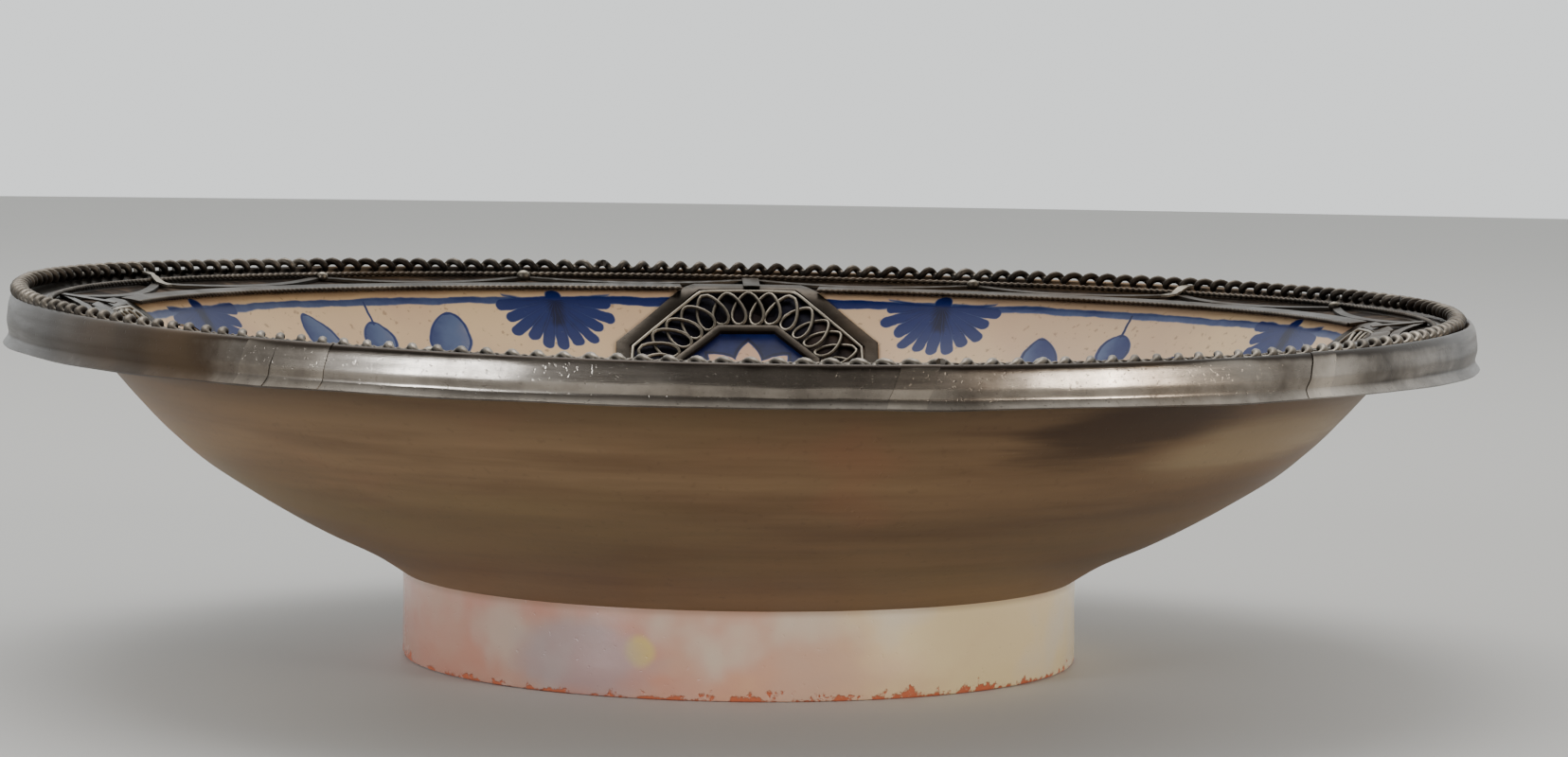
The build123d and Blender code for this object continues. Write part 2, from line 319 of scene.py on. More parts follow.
def add_bump(tree, shader, height, distance, strength=1.0):
    """Small relief from a height field."""
    bump = tree.nodes.new("ShaderNodeBump")
    bump.inputs["Distance"].default_value = distance
    bump.inputs["Strength"].default_value = strength
    plug(tree, height, bump.inputs["Height"])
    tree.links.new(bump.outputs["Normal"], shader.inputs["Normal"])


def tell(tree, name):
    """Print how many nodes a finish or a group took."""
    print(name, "has", len(tree.nodes), "nodes")


print("middle grey in linear light", round(colour(128, 128, 128)[0], 3))


# %% [markdown]
# ## Glaze
#
# Five finishes meet on the pot: a thin brown wash outside, cream glaze on the foot, cream
# glaze with blue painting inside, bare clay under the foot, and painted shade on the flange.
# The first three have the same small faults, which one node group gives: pinholes, soft
# orange peel and fine specks.

# %% Glaze faults, shared by the ceramic finishes
glaze_faults, fault_in, fault_out = new_group(
    "glaze faults", {"Specks": ("NodeSocketFloat", 0.5)},
    {"Specks": "NodeSocketFloat", "Height": "NodeSocketFloat", "Cloud": "NodeSocketFloat"})
fault_place, _ = object_place(glaze_faults)
peel = noise_field(glaze_faults, fault_place, 420.0, 2.0)
pores = noise_field(glaze_faults, fault_place, 900.0, 1.0).between(0.70, 0.78)
fine_specks = noise_field(glaze_faults, fault_place, 520.0, 2.0, shift=(3, 1, 2)).between(0.62, 0.72)
speck_share = Field(glaze_faults, fault_in.outputs["Specks"])
plug(glaze_faults, fine_specks * speck_share, fault_out.inputs["Specks"])
plug(glaze_faults, peel * 0.5 - pores * 0.8, fault_out.inputs["Height"])
plug(glaze_faults, noise_field(glaze_faults, fault_place, 22.0, 4.0), fault_out.inputs["Cloud"])
tell(glaze_faults, "glaze faults")


# %% [markdown]
# ## The brown wash
#
# The outside has a thin brown glaze, brushed on while the wheel turned, so it lies in level
# streaks, with two broader patches near the front: a dark one just under the binding's lip and a
# pale one further right. The wall is also painted darker on the right side, as painted shade, and
# just under the lip, as painted shadow. An image could be painted and wrapped on, but it would
# have a seam. Noise that changes fast with the height and slowly round the pot gives streaks
# without one. The patches are soft ovals, broken up by the same streaks.

# %% Brown wash of the outside wall
# Two patches near the front: a dark one just under the binding's lip and a pale one to its right.
FRONT_PATCHES = ((0.083, 0.0655, 0.026, colour(52, 36, 24)),
                   (0.113, 0.0600, 0.024, colour(138, 119, 90)))


def brown_wash():
    """A thin brown glaze, brushed on while the pot turned, so it lies in level streaks."""
    material, tree, shader = new_material("brown wash glaze", 0.34)
    place, (x, y, z) = object_place(tree)
    faults = place_group(tree, glaze_faults, {"Specks": 0.5})
    streaks = noise_field(tree, place, 16.0, 4.0, 0.6, (0.6, 0.6, 9.0))
    broad = noise_field(tree, place, 9.0, 3.0, 0.5, (1.0, 1.0, 3.5), (0.2, 0.5, 0.1))
    warm = noise_field(tree, place, 14.0, 3.0, 0.55, (1, 1, 1.5), (4, 2, 1))
    tone = mix_colours(tree, streaks.between(0.30, 0.70), colour(104, 80, 56), colour(130, 104, 75))
    tone = mix_colours(tree, broad.between(0.42, 0.66) * 0.6, tone, colour(122, 102, 68))
    tone = mix_colours(tree, warm.between(0.52, 0.72) * 0.5, tone, colour(138, 90, 66))
    # Painted shade: the wall darker towards the right side, broken up by the broad noise.
    tone = mix_colours(tree, (x + broad * 0.1).between(0.03, 0.16) * 0.35, tone, colour(70, 54, 38))
    for across, height, length, patch_colour in FRONT_PATCHES:
        along = (x - across) * 0.8 + (z - height) * 0.9
        level = (z - height) * 1.1 - (x - across) * 0.25
        reach = far(along / length, level / (length * 0.3)) + (streaks - 0.5) * 1.6
        share = reach.between(1.25, 0.5) * y.between(0.0, -0.02) * 0.8
        tone = mix_colours(tree, share, tone, patch_colour)
    # Painted shadow: the wall darker just under the binding's lip.
    tone = mix_colours(tree, z.between(0.058, 0.075) * 0.55, tone, colour(56, 40, 27))
    tone = mix_colours(tree, z.between(0.034, 0.019) * 0.35, tone, colour(132, 104, 78))
    spots = Field(tree, faults.outputs["Specks"])
    tone = mix_colours(tree, spots * 0.25, tone, colour(52, 36, 26))
    plug(tree, tone, shader.inputs["Base Color"])
    plug(tree, streaks * 0.22 + 0.38, shader.inputs["Roughness"])
    shader.inputs["Specular IOR Level"].default_value = 0.35
    rings = noise_field(tree, place, 30.0, 2.0, 0.5, (0.15, 0.15, 9.0))
    add_bump(tree, shader, Field(tree, faults.outputs["Height"]) * 0.25 + rings, 0.25 * MM, 0.7)
    tell(tree, material.name)
    return material


OUTSIDE_GLAZE = brown_wash()


# %% [markdown]
# ## The foot's cream glaze
#
# The foot ring is cream with pink, yellow and lilac patches, and its lower edge is chipped to
# orange clay. Each patch could be a material on faces of its own, but its border would then
# follow the mesh. A mask made from the surface's place crosses faces freely. The chips are a
# noise that raises and lowers the level under which clay shows, so they stay at the edge.

# %% Cream glaze of the foot
YELLOW_SPOT = (-21.0 * MM, -78.0 * MM, 11.0 * MM)


def foot_cream():
    """Cream glaze with pink and yellow patches, chipped to orange clay along its lower edge."""
    material, tree, shader = new_material("foot cream glaze", 0.2)
    place, (x, y, z) = object_place(tree)
    faults = place_group(tree, glaze_faults, {"Specks": 0.15})
    patches = noise_field(tree, place, 20.0, 4.0, 0.55, (1, 1, 1.6), (1.3, 0.2, 0.4))
    side = patches * 0.9 + x * 4.2
    pink = mix_colours(tree, patches.between(0.35, 0.62), colour(192, 158, 136), colour(196, 136, 114))
    tone = mix_colours(tree, side.between(0.40, 0.72), pink, colour(212, 192, 150))
    pale = noise_field(tree, place, 34.0, 3.0, 0.5, (1, 1, 1), (7, 3, 1))
    tone = mix_colours(tree, pale.between(0.52, 0.70) * 0.7, tone, colour(200, 188, 170))
    spot = far(far(x - YELLOW_SPOT[0], y - YELLOW_SPOT[1]), z - YELLOW_SPOT[2])
    spot = spot + (pale - 0.5) * 0.006
    tone = mix_colours(tree, spot.between(0.0045, 0.0022) * 0.75, tone, colour(214, 190, 84))
    tone = mix_colours(tree, x.between(0.01, -0.06) * 0.4, tone, colour(150, 112, 98))
    lilac = far(x + 0.034, (z - 0.008) * 1.6) + (patches - 0.5) * 0.03
    lilac_share = lilac.between(0.020, 0.010) * y.between(0.0, -0.02) * 0.6
    tone = mix_colours(tree, lilac_share, tone, colour(150, 138, 140))
    # Painted shadow: the foot darker along its top, under the wall's overhang.
    tone = mix_colours(tree, z.between(0.0185, 0.0204) * 0.5, tone, colour(126, 98, 74))
    ragged = noise_field(tree, place, 170.0, 4.0, 0.7)
    chips = (z - (ragged - 0.52) * 0.014).between(0.0012, 0.0004)
    tone = mix_colours(tree, chips, tone, colour(176, 92, 58))
    plug(tree, tone, shader.inputs["Base Color"])
    plug(tree, chips * 0.5 + patches * 0.12 + 0.16, shader.inputs["Roughness"])
    shader.inputs["Coat Weight"].default_value = 0.15
    shader.inputs["Coat Roughness"].default_value = 0.15
    height = Field(tree, faults.outputs["Height"]) * 0.3 - chips * 1.5 + patches
    add_bump(tree, shader, height, 0.3 * MM, 0.6)
    tell(tree, material.name)
    return material


FOOT_GLAZE = foot_cream()


# %% [markdown]
# ## Bare clay
#
# A potter wipes the glaze off the underside, so that the pot doesn't stick to the kiln shelf.
# What stays is pale, rough and gritty. The grit could be modelled, but it is far smaller than
# a millimetre, so bump is enough for it. Two tones in soft clouds keep the clay from looking
# flat.

# %% Bare clay under the foot
def bare_clay():
    """Pale unglazed clay with grit."""
    material, tree, shader = new_material("bare clay", 0.85)
    place, _ = object_place(tree)
    grit = noise_field(tree, place, 500.0, 4.0, 0.7)
    cloud = noise_field(tree, place, 26.0, 4.0)
    tone = mix_colours(tree, cloud.between(0.35, 0.65), colour(176, 120, 92), colour(196, 152, 122))
    tone = mix_colours(tree, grit.between(0.60, 0.75), tone, colour(120, 86, 66))
    plug(tree, tone, shader.inputs["Base Color"])
    add_bump(tree, shader, grit, 0.3 * MM)
    tell(tree, material.name)
    return material


CLAY = bare_clay()


# %% [markdown]
# ## Painted shade under the openwork
#
# Between and under the strips on the flange, the glaze is painted dark for the shade that the
# openwork casts there, and a noise mottles it like dust. A dark layer could be modelled above
# the glaze, but it would show an edge. A finish of its own for these faces, rough and hardly
# shiny, is dark there and doesn't catch the light as clean glaze does.

# %% Painted shade on the flange, under the openwork
def shaded_flange():
    """Glaze between the strips, painted dark for the openwork's shade, rough and mottled like dust."""
    material, tree, shader = new_material("flange glaze with painted shade", 0.85)
    place, _ = object_place(tree)
    dust = noise_field(tree, place, 120.0, 4.0, 0.6)
    # Painted shade: both tones are dark and stand in for the shade under and between the openwork strips.
    tone = mix_colours(tree, dust.between(0.40, 0.68), colour(44, 37, 32), colour(88, 74, 62))
    plug(tree, tone, shader.inputs["Base Color"])
    plug(tree, dust * 0.2 + 0.7, shader.inputs["Roughness"])
    shader.inputs["Specular IOR Level"].default_value = 0.1
    add_bump(tree, shader, dust, 0.3 * MM, 0.6)
    tell(tree, material.name)
    return material


SHADED_FLANGE = shaded_flange()

# %% [markdown]
# ## The blue painting
#
# Each quarter of the wall carries the same brushwork: a border line, a palmette on each side
# of a medallion, leaves, and a bud on a stem in the middle. A painter repeats a motif by
# turning the bowl, and the material does the same: the angle is folded so that one set of
# formulas paints all four quarters. Lengths are in millimetres along the wall, so that a
# stroke has the width of a real brush. A little noise bends the lines as a hand does.

# %% Places for the painter: across and down, in millimetres
FOLD = math.pi / 2
PALMETTES = (math.radians(21.0), math.radians(68.5))
LEAVES = ((34.4, 7.4, 6.6, 16.0, -0.22, 5.5), (51.4, 6.6, 5.2, 13.0, 0.34, 9.0))
BUD_ANGLE = math.radians(43.5)
BORDER_DOWN = 3.9
BORDER_WIDTH = 2.2
MEDALLION_DOWN = 32.9


def painter_places(tree):
    """Angle in the quarter, radius and distance down in mm, the place itself, and its X."""
    place, (x, y, _) = object_place(tree)
    attribute = tree.nodes.new("ShaderNodeAttribute")
    attribute.attribute_name = "down"
    down = Field(tree, attribute.outputs["Fac"]) / MM
    wobble = noise_field(tree, place, 95.0, 2.0, 0.5) - 0.5
    ragged = noise_field(tree, place, 700.0, 2.0, 0.6) - 0.5
    angle = abs(x).math("ARCTAN2", y)
    radius = far(x, y) / MM
    across_wobble = wobble * 0.016 + ragged * 0.0022
    folded = angle.math("MODULO", FOLD) + across_wobble
    return folded, radius, down + wobble * 2.0 + ragged * 0.3, place, x


def capsule(across, along, length, width):
    """Distance outside a round-ended brush stroke that starts at 0 and ends at its length."""
    past = (along - length).most(along * -1.0).most(0.0)
    return far(past, across) - width


def filled(distance, blur=0.35):
    """1 inside a shape and 0 outside, with a soft edge like glaze."""
    return distance.between(blur, -blur)


print("a quarter of the rim is", round(FOLD * RIM_RADIUS / MM), "mm long")


# %% [markdown]
# ## The palmette
#
# A palmette is a fan of strokes that meet in a point on the border. It could be drawn as an
# image, but then the bowl would need to be unwrapped. Here the angle round that point is
# rounded to the nearest stroke, so that the formula of one stroke is repeated for all of them.
# The sine of a stroke's number makes the lengths uneven, as a quick hand does.

# %% The palmette: a fan of brush strokes
FINGER_STEP = math.radians(17.0)
FAN_ENDS = (math.radians(101), math.radians(93))


def palmette(across, below, seed):
    """Strokes that fan out from a point on the border, fat at their tips, and a small crown."""
    reach = far(across, below)
    angle = across.math("ARCTAN2", below)
    finger = (angle / FINGER_STEP + seed).math("ROUND") - seed
    turned = angle - finger * FINGER_STEP
    side = reach * turned.math("SINE")
    along = reach * turned.math("COSINE")
    uneven = (finger * 2.7 + seed * 9.0).math("SINE") * 1.0
    stroke = capsule(side, along, uneven + 14.8, (along * 0.145 + 0.1).least(1.72))
    fan = filled(stroke, 0.3) * abs(angle).between(*FAN_ENDS)
    crown = filled(capsule(across, below + 1.4, 1.0, 2.4), 0.5)
    core = filled(capsule(across, below, 6.5, 1.3), 2.2)
    edge = stroke.between(-1.1, -0.1)
    tone = edge * 0.10 + 0.66 + core * 0.34 - reach.between(9.0, 17.0) * 0.06
    return (fan * tone).most(crown * 0.7)


print("strokes in a palmette", round(2 * FAN_ENDS[1] / FINGER_STEP))


# %% [markdown]
# ## Leaf and bud
#
# The leaves are a thin wash of blue with a darker line round it, where colour gathers at the
# wet edge. Separate shapes for line and wash could drift apart. So one drop is described by its
# width along its length, and the distance from its edge gives both. A bud is the same drop on a
# stem that hangs from the border.

# %% Leaf and bud: washed-in drops with a darker outline
def drop(across, below, half_width, length, lean):
    """A drop with its point up, in a light wash with a darker line round it."""
    straight = across + (below - length / 2) * lean
    share = (below / length).least(1.0).most(0.0)
    profile = (share ** 0.62) * ((1.0 - share) ** 0.42) * (half_width * 1.95)
    distance = (abs(straight) - profile).most(below - length).most(below * -1.0)
    line = filled(abs(distance + 0.55) - 0.5, 0.45)
    wash = filled(distance, 0.3) * (0.54 - straight.between(half_width, -half_width) * 0.20)
    return wash.most(line * 0.66)


def bud(across, below):
    """A bud on a thin stem that hangs from the border."""
    stem = filled(capsule(across + below * 0.04, below, 7.0, 0.36), 0.25)
    return (stem * 0.7).most(drop(across, below - 6.0, 5.4, 11.0, 0.0))


print("leaves in a quarter", len(LEAVES))


# %% [markdown]
# ## The star
#
# In the opening of each medallion a cream star is left bare on a blue ground. It could be eight
# triangles joined together. Folding the angle onto one point, whose reach falls away from its
# middle, draws all eight at once. The second value says where the star's ground takes the place
# of the other painting.

# %% The star in a medallion's opening
STAR_POINTS = 8


def star_flower(across, below):
    """Blue round a cream star, and where it takes the place of the other painting."""
    reach = far(across, below)
    step = TURN / STAR_POINTS
    angle = across.math("ARCTAN2", below)
    turned = angle - (angle / step).math("ROUND") * step
    tip = 15.3 - abs(turned) * 15.0
    star = filled(reach - tip, 0.5)
    ground = filled(reach - 19.5, 0.8) * 0.78
    line = filled(abs(reach - tip - 0.8) - 0.6, 0.5) * 0.16
    return (ground + line * ground) * (1.0 - star), filled(reach - 20.0, 0.6)


print("points of the star", STAR_POINTS)


# %% [markdown]
# ## Cream glaze with the painting under it
#
# The blue lies under the clear glaze, so both share one shine. The motifs could be decals laid
# over the cream, each on a surface of its own. Here every motif is one number instead: how much
# blue there is. A maximum joins them, and three mixes of colour make thin blue pale and thick
# blue almost black, as cobalt is.

# %% The painted inside glaze
def painted_cream():
    """Cream glaze with the cobalt painting under it."""
    material, tree, shader = new_material("painted cream glaze", 0.25)
    angle, radius, down, place, x = painter_places(tree)
    faults = place_group(tree, glaze_faults, {"Specks": 0.7})
    below = down - BORDER_DOWN
    blue = None
    for index, middle in enumerate(PALMETTES):
        fan = palmette((angle - middle) * radius, below, 0.3 * index)
        blue = fan if blue is None else blue.most(fan)
    right = x.between(-1 * MM, 1 * MM)
    for middle, top, half_width, length, lean, lower in LEAVES:
        across = (angle - math.radians(middle)) * radius
        leaf = drop(across, down - (right * lower + top), half_width, length, lean)
        blue = blue.most(leaf * (right * 0.25 + 1.0))
    blue = blue.most(bud((angle - BUD_ANGLE) * radius, below) * (right * 0.25 + 1.0))
    thick = noise_field(tree, place, 11.0, 1.0, 0.5, (1, 1, 1), (0.4, 0.9, 0.2)).between(0.50, 0.66)
    border = filled(abs(below) - (thick * 0.5 + BORDER_WIDTH / 2), 0.4)
    blue = blue.most(border * (thick * 0.2 + 0.50))
    nearest = angle.least(FOLD - angle)
    star, cover = star_flower(nearest * radius, down - MEDALLION_DOWN)
    blue = blue * (1.0 - cover) + star
    rings = filled(abs(radius - 52.0) - 1.2, 0.5).most(filled(abs(radius - 47.5) - 0.45, 0.4))
    blue = blue.most(rings * 0.62)
    petal = angle.math("PINGPONG", FOLD / 4)
    rosette = filled(radius - (16.0 - petal * 22.0), 0.5)
    blue = blue.most((filled(radius - 18.6, 0.5) - rosette).most(0.0) * 0.75)
    uneven = noise_field(tree, place, 150.0, 3.0, 0.6)
    blue = blue * (uneven * 0.4 + 0.84)
    cloud = Field(tree, faults.outputs["Cloud"])
    cream = mix_colours(tree, cloud.between(0.38, 0.62), colour(208, 178, 138), colour(196, 164, 132))
    pinker = noise_field(tree, place, 13.0, 3.0, 0.5, (1, 1, 1), (2, 5, 3)).between(0.5, 0.68)
    cream = mix_colours(tree, pinker * 0.55, cream, colour(198, 154, 130))
    # Painted shadow: the glaze darker just below the flange's corner, under the inner ring's edge.
    cream = mix_colours(tree, down.between(2.4, 0.6) * 0.55, cream, colour(140, 112, 90))
    # Painted shade: the glaze dark on the flange, under the ring and the openwork.
    cream = mix_colours(tree, down.between(0.4, -2.0) * 0.85, cream, colour(58, 48, 42))
    cream = mix_colours(tree, Field(tree, faults.outputs["Specks"]), cream, colour(146, 118, 92))
    washed = mix_colours(tree, blue.between(0.02, 0.42), cream, colour(74, 88, 122))
    deep = mix_colours(tree, blue.between(0.40, 0.62), washed, colour(22, 34, 88))
    deep = mix_colours(tree, blue.between(0.70, 0.95), deep, colour(12, 13, 46))
    plug(tree, deep, shader.inputs["Base Color"])
    plug(tree, cloud * 0.15 + 0.28, shader.inputs["Roughness"])
    shader.inputs["Specular IOR Level"].default_value = 0.35
    add_bump(tree, shader, Field(tree, faults.outputs["Height"]) * 0.3 + cloud, 0.25 * MM, 0.5)
    tell(tree, material.name)
    return material


INSIDE_GLAZE = painted_cream()


# %% [markdown]
# ## Tarnished nickel silver
#
# The metal is grey with brown in its hollows, and bright where hands and cloths rub it. A
# dark oxide gathers in patches and in low places, scratches run along the strips, and the
# upward faces are cleaner than the rest. One group gives all of this, and each kind of piece
# sets how bright and how dirty it is.

# %% Tarnish, shared by every metal piece
tarnish, tarnish_in, tarnish_out = new_group(
    "tarnish",
    {"Bright": ("NodeSocketColor", colour(186, 180, 172)), "Dark": ("NodeSocketColor", colour(70, 60, 52)),
     "Dirt and shade": ("NodeSocketFloat", 0.5), "Rub": ("NodeSocketFloat", 0.6), "Warm": ("NodeSocketFloat", 0.3)},
    {"Color": "NodeSocketColor", "Roughness": "NodeSocketFloat", "Height": "NodeSocketFloat"})
metal_place, _ = object_place(tarnish)
facing = tarnish.nodes.new("ShaderNodeSeparateXYZ")
tarnish.links.new(tarnish.nodes.new("ShaderNodeNewGeometry").outputs["Normal"], facing.inputs["Vector"])
upward = Field(tarnish, facing.outputs["Z"]).between(0.15, 0.95)
patches = noise_field(tarnish, metal_place, 55.0, 5.0, 0.62)
broad_patches = noise_field(tarnish, metal_place, 14.0, 3.0, 0.5, shift=(2, 7, 1))
scratches = noise_field(tarnish, metal_place, 260.0, 3.0, 0.7, (0.35, 0.35, 5.0))
pits = noise_field(tarnish, metal_place, 1100.0, 2.0, 0.6).between(0.62, 0.72)
# This input carries the metal's dirt and also the painted shade that metal_finish adds.
dirt = Field(tarnish, tarnish_in.outputs["Dirt and shade"])
rub = Field(tarnish, tarnish_in.outputs["Rub"])
oxide_and_shade = (patches - 0.5) * 1.1 + (broad_patches - 0.5) * 1.1 + dirt - upward * rub * 0.75
oxide_and_shade = oxide_and_shade.between(0.0, 1.0)
metal_tone = mix_colours(tarnish, oxide_and_shade, tarnish_in.outputs["Bright"], tarnish_in.outputs["Dark"])
warm_share = broad_patches.between(0.46, 0.66) * Field(tarnish, tarnish_in.outputs["Warm"])
metal_tone = mix_colours(tarnish, warm_share, metal_tone, colour(146, 116, 84))
metal_tone = mix_colours(tarnish, pits * 0.25, metal_tone, colour(48, 40, 34))
plug(tarnish, metal_tone, tarnish_out.inputs["Color"])
plug(tarnish, oxide_and_shade * 0.30 + scratches * 0.22 + 0.20, tarnish_out.inputs["Roughness"])
plug(tarnish, patches * 0.5 + scratches * 0.35 - pits * 0.3, tarnish_out.inputs["Height"])
tell(tarnish, "tarnish")


# %% [markdown]
# ## A finish for each kind of piece
#
# All the metal is one alloy, but the rim is rubbed, the strips on the flange are not, and the
# sheet behind the lattices is black, as painted shade. Materials that were built apart would not
# match. One function places the shared tarnish with its own values for each kind of piece, and
# adds painted shade: on the far side, in the binding's groove under the coil and at the
# binding's two ends.

# %% Metal finishes
def metal_finish(name, bright, dark, dirt, rub, relief=0.12, warm=0.3, far_side_shade=0.0, binding=False):
    """A finish of the metal, with painted shade on the far side, and on a binding's ends and its groove.
    """
    material, tree, shader = new_material(name, 0.4, 1.0)
    _, (x, y, _) = object_place(tree)
    # Painted shade: the metal darker on the far side, added to its own dirt.
    dirt_and_painted_shade = y.between(-0.15, 0.04) * far_side_shade + dirt
    polish = 1.0
    if binding:
        # Painted shade: the binding darker in the groove under the coil and on the top of its fold.
        dirt_and_painted_shade = dirt_and_painted_shade + far(x, y).between(0.1738, 0.1729) * 0.9
        # Painted shade: the binding darker towards its left and right ends.
        dirt_and_painted_shade = dirt_and_painted_shade + x.between(-0.06, -0.15) * 0.5 + x.between(0.12, 0.17) * 0.28
        polish = 0.56
    values = {"Bright": bright, "Dark": dark, "Dirt and shade": dirt_and_painted_shade, "Rub": rub, "Warm": warm}
    surface = place_group(tree, tarnish, values)
    plug(tree, surface.outputs["Color"], shader.inputs["Base Color"])
    plug(tree, Field(tree, surface.outputs["Roughness"]) * polish, shader.inputs["Roughness"])
    add_bump(tree, shader, surface.outputs["Height"], relief * MM, 0.8)
    return material


BINDING_METAL = metal_finish("worn binding metal", colour(184, 174, 162), colour(54, 47, 41), 0.50, 0.2,
                             0.10, 0.25, 0.36, True)
# Painted highlight: a slightly brighter copy of the binding's finish for the laps and the sleeve.
LAP_METAL_HIGHLIGHT = metal_finish("lap metal with painted highlight", colour(192, 181, 167), colour(66, 58, 51), 0.46, 0.2,
                         0.10, 0.25, 0.30, True)
COIL_METAL = metal_finish("coil wire metal", colour(150, 140, 127), colour(38, 34, 31), 0.74, 0.45,
                          0.05, 0.05, 0.12)
LATTICE_METAL = metal_finish("lattice wire metal", colour(140, 131, 117), colour(36, 32, 29), 0.72, 0.8,
                             0.05, 0.1)
TWIST_METAL = metal_finish("twisted wire metal", colour(112, 102, 91), colour(28, 25, 22), 0.76, 0.5,
                           0.05, 0.1)
STRIP_METAL = metal_finish("openwork strip metal", colour(78, 71, 63), colour(22, 20, 18), 0.72, 0.45,
                           0.12, 0.15)
EDGE_METAL = metal_finish("bright edge wire metal", colour(160, 151, 136), colour(56, 48, 42), 0.52, 0.6,
                          0.05, 0.2)
# Painted shade: a dark sheet for the shade seen through the lattice's cells.
SHADE_BACKING = metal_finish("dark backing for painted shade", colour(22, 21, 30), colour(9, 8, 11), 0.7, 0.2)
print("materials", len(bpy.data.materials))

# %% [markdown]
# ## Finishing a piece
#
# The rim is not quite level: it stands a little high on one side and is pressed down on the
# side nearest to the camera, where the binding is lower too. So every piece goes through one
# function at the end, which bends it with the rim. The function is a sum of three slow waves
# round the rim: an even part, a tilt and a saddle. It fades out from the rim to the foot.

# %% Bend with the rim and hand over
LIP_HEIGHT = 73.9 * MM
RIM_HEIGHT = 13.5 * MM
TOP_WAVES = (-0.65, 2.2, -1.4, -1.25)
LIP_WAVES = (-0.10, 0.3, -0.85, -0.45)
pieces_made = []


def wave_sum(waves, angle):
    """An even part, a tilt (two parts) and a saddle, added up at an angle round the rim."""
    even, near_far, left_right, saddle = waves
    tilt = near_far * math.cos(angle) + left_right * math.sin(angle)
    return (even + tilt + saddle * math.cos(2 * angle)) * MM


def warped(point):
    """A point moved with the rim's warp, which grows with the height above the binding's lip."""
    reach = math.hypot(point.x, point.y) / RIM_RADIUS
    angle = math.atan2(point.x, point.y)
    share = min(max((point.z - LIP_HEIGHT) / RIM_HEIGHT, 0.0), 1.0)
    lip = wave_sum(LIP_WAVES, angle)
    shift = lip + (wave_sum(TOP_WAVES, angle) - lip) * share
    return point + Vector((0, 0, shift * min(reach, 1.0) ** 4))


NEAR_AND_FAR = (math.pi, 0.0)
print("rim raised, near and far, mm", [round(wave_sum(TOP_WAVES, turn) / MM, 2) for turn in NEAR_AND_FAR])


def hand_over(mesh, name, nodes, materials, sharp_angle=42.0):
    """Make the piece's object, hang it on the root body, and hide the packed parts it stands for."""
    for vertex in mesh.vertices:
        vertex.co = warped(vertex.co)
    for material in materials:
        mesh.materials.append(material)
    mesh.shade_smooth()
    mesh.set_sharp_from_angle(angle=math.radians(sharp_angle))
    piece = bpy.data.objects.new(name, mesh)
    bpy.context.scene.collection.objects.link(piece)
    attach(piece, "root")
    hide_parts(*nodes)
    pieces_made.append((name, len(mesh.polygons)))
    return piece


def from_bmesh(bm, name, nodes, materials, sharp_angle=42.0):
    """Close the modelling of a piece and hand it over."""
    bmesh.ops.recalc_face_normals(bm, faces=bm.faces[:])
    mesh = bpy.data.meshes.new(name)
    bm.to_mesh(mesh)
    bm.free()
    return hand_over(mesh, name, nodes, materials, sharp_angle)


# %% [markdown]
# ## The pot
#
# The potter's way is also the modeller's: draw half of the section and turn it. bmesh's spin
# does that, and use_merge closes the last step onto the first. Faint throwing rings are
# pressed into the outside afterwards by moving its points in and out with the height.

# %% The section, from under the foot to the rim and back down inside
FOOT_HEIGHT = 20.4 * MM
UNDERSIDE = [(0.0, 9.0), (40.0, 9.0), (64.0, 9.0), (67.2, 8.2), (69.2, 6.0), (69.9, 3.0), (70.0, 0.9)]
FOOT = [(70.8, 0.0), (80.0, 0.0), (80.6, 0.25), (80.9, 0.9), (80.95, 7.0), (80.85, 14.0), (80.9, 19.9)]
OUTER_WALL = [(80.9, 20.4), (87.5, 24.5), (102.0, 31.5), (117.7, 40.3), (130.7, 49.0), (140.3, 57.8),
              (148.2, 66.5), (154.0, 73.5)]
UNDER_FLANGE = [(158.5, 75.6), (164.0, 76.3), (171.0, 76.9), (172.4, 79.0), (171.2, 81.6)]
THROWING_RINGS = 0.16 * MM


def section_points():
    """Points round the half section, in metres."""
    flat = np.array(UNDERSIDE + FOOT) * MM
    wall = smooth_line(OUTER_WALL, 56)
    flange = np.array(UNDER_FLANGE) * MM
    return np.vstack((flat, wall, flange, inside_line[::-1]))


def throwing_ring(height):
    """How far the outside stands out at a height, from the potter's fingers."""
    return THROWING_RINGS * noise.noise(Vector((0.0, 7.3, height * 260.0)))


print("points round the section", len(section_points()))


# %% [markdown]
# ## Turning the pot, and which glaze goes where
#
# A Screw modifier could turn the section too, but its faces wouldn't exist yet, and here each
# face has to be given its glaze. With spin they are real, so a face is sorted by where it lies
# and which way it faces. An attribute named "down" keeps each point's distance from the
# flange's corner, and the painting reads it.

# %% Turn the section into the pot
POT_STEPS = 180
SHADE_RADIUS = 153.0 * MM
FOOT_EDGE_RADIUS = 80.0 * MM
FLOOR_LOWEST = 12 * MM
WASH, CREAM, BARE, PAINTED, SHADED = range(5)


def turn_section(points, steps):
    """Spin a line of (radius, height) points all the way round and merge it on the axis."""
    bm = bmesh.new()
    line = [bm.verts.new((0, radius, height)) for radius, height in points]
    edges = [bm.edges.new(pair) for pair in zip(line, line[1:])]
    bmesh.ops.spin(bm, geom=line + edges, cent=(0, 0, 0), axis=(0, 0, 1), dvec=(0, 0, 0),
                   angle=TURN, steps=steps, use_merge=True)
    bmesh.ops.remove_doubles(bm, verts=bm.verts[:], dist=0.004 * MM)
    return bm


def glaze_of(face):
    """The finish of one of the pot's faces, by where it lies and which way it faces."""
    middle = face.calc_center_median()
    radius = math.hypot(middle.x, middle.y)
    if face.normal.z > 0.02 and middle.z > FLOOR_LOWEST:
        return SHADED if radius > SHADE_RADIUS else PAINTED
    if middle.z > FOOT_HEIGHT:
        return WASH
    return CREAM if radius > FOOT_EDGE_RADIUS else BARE


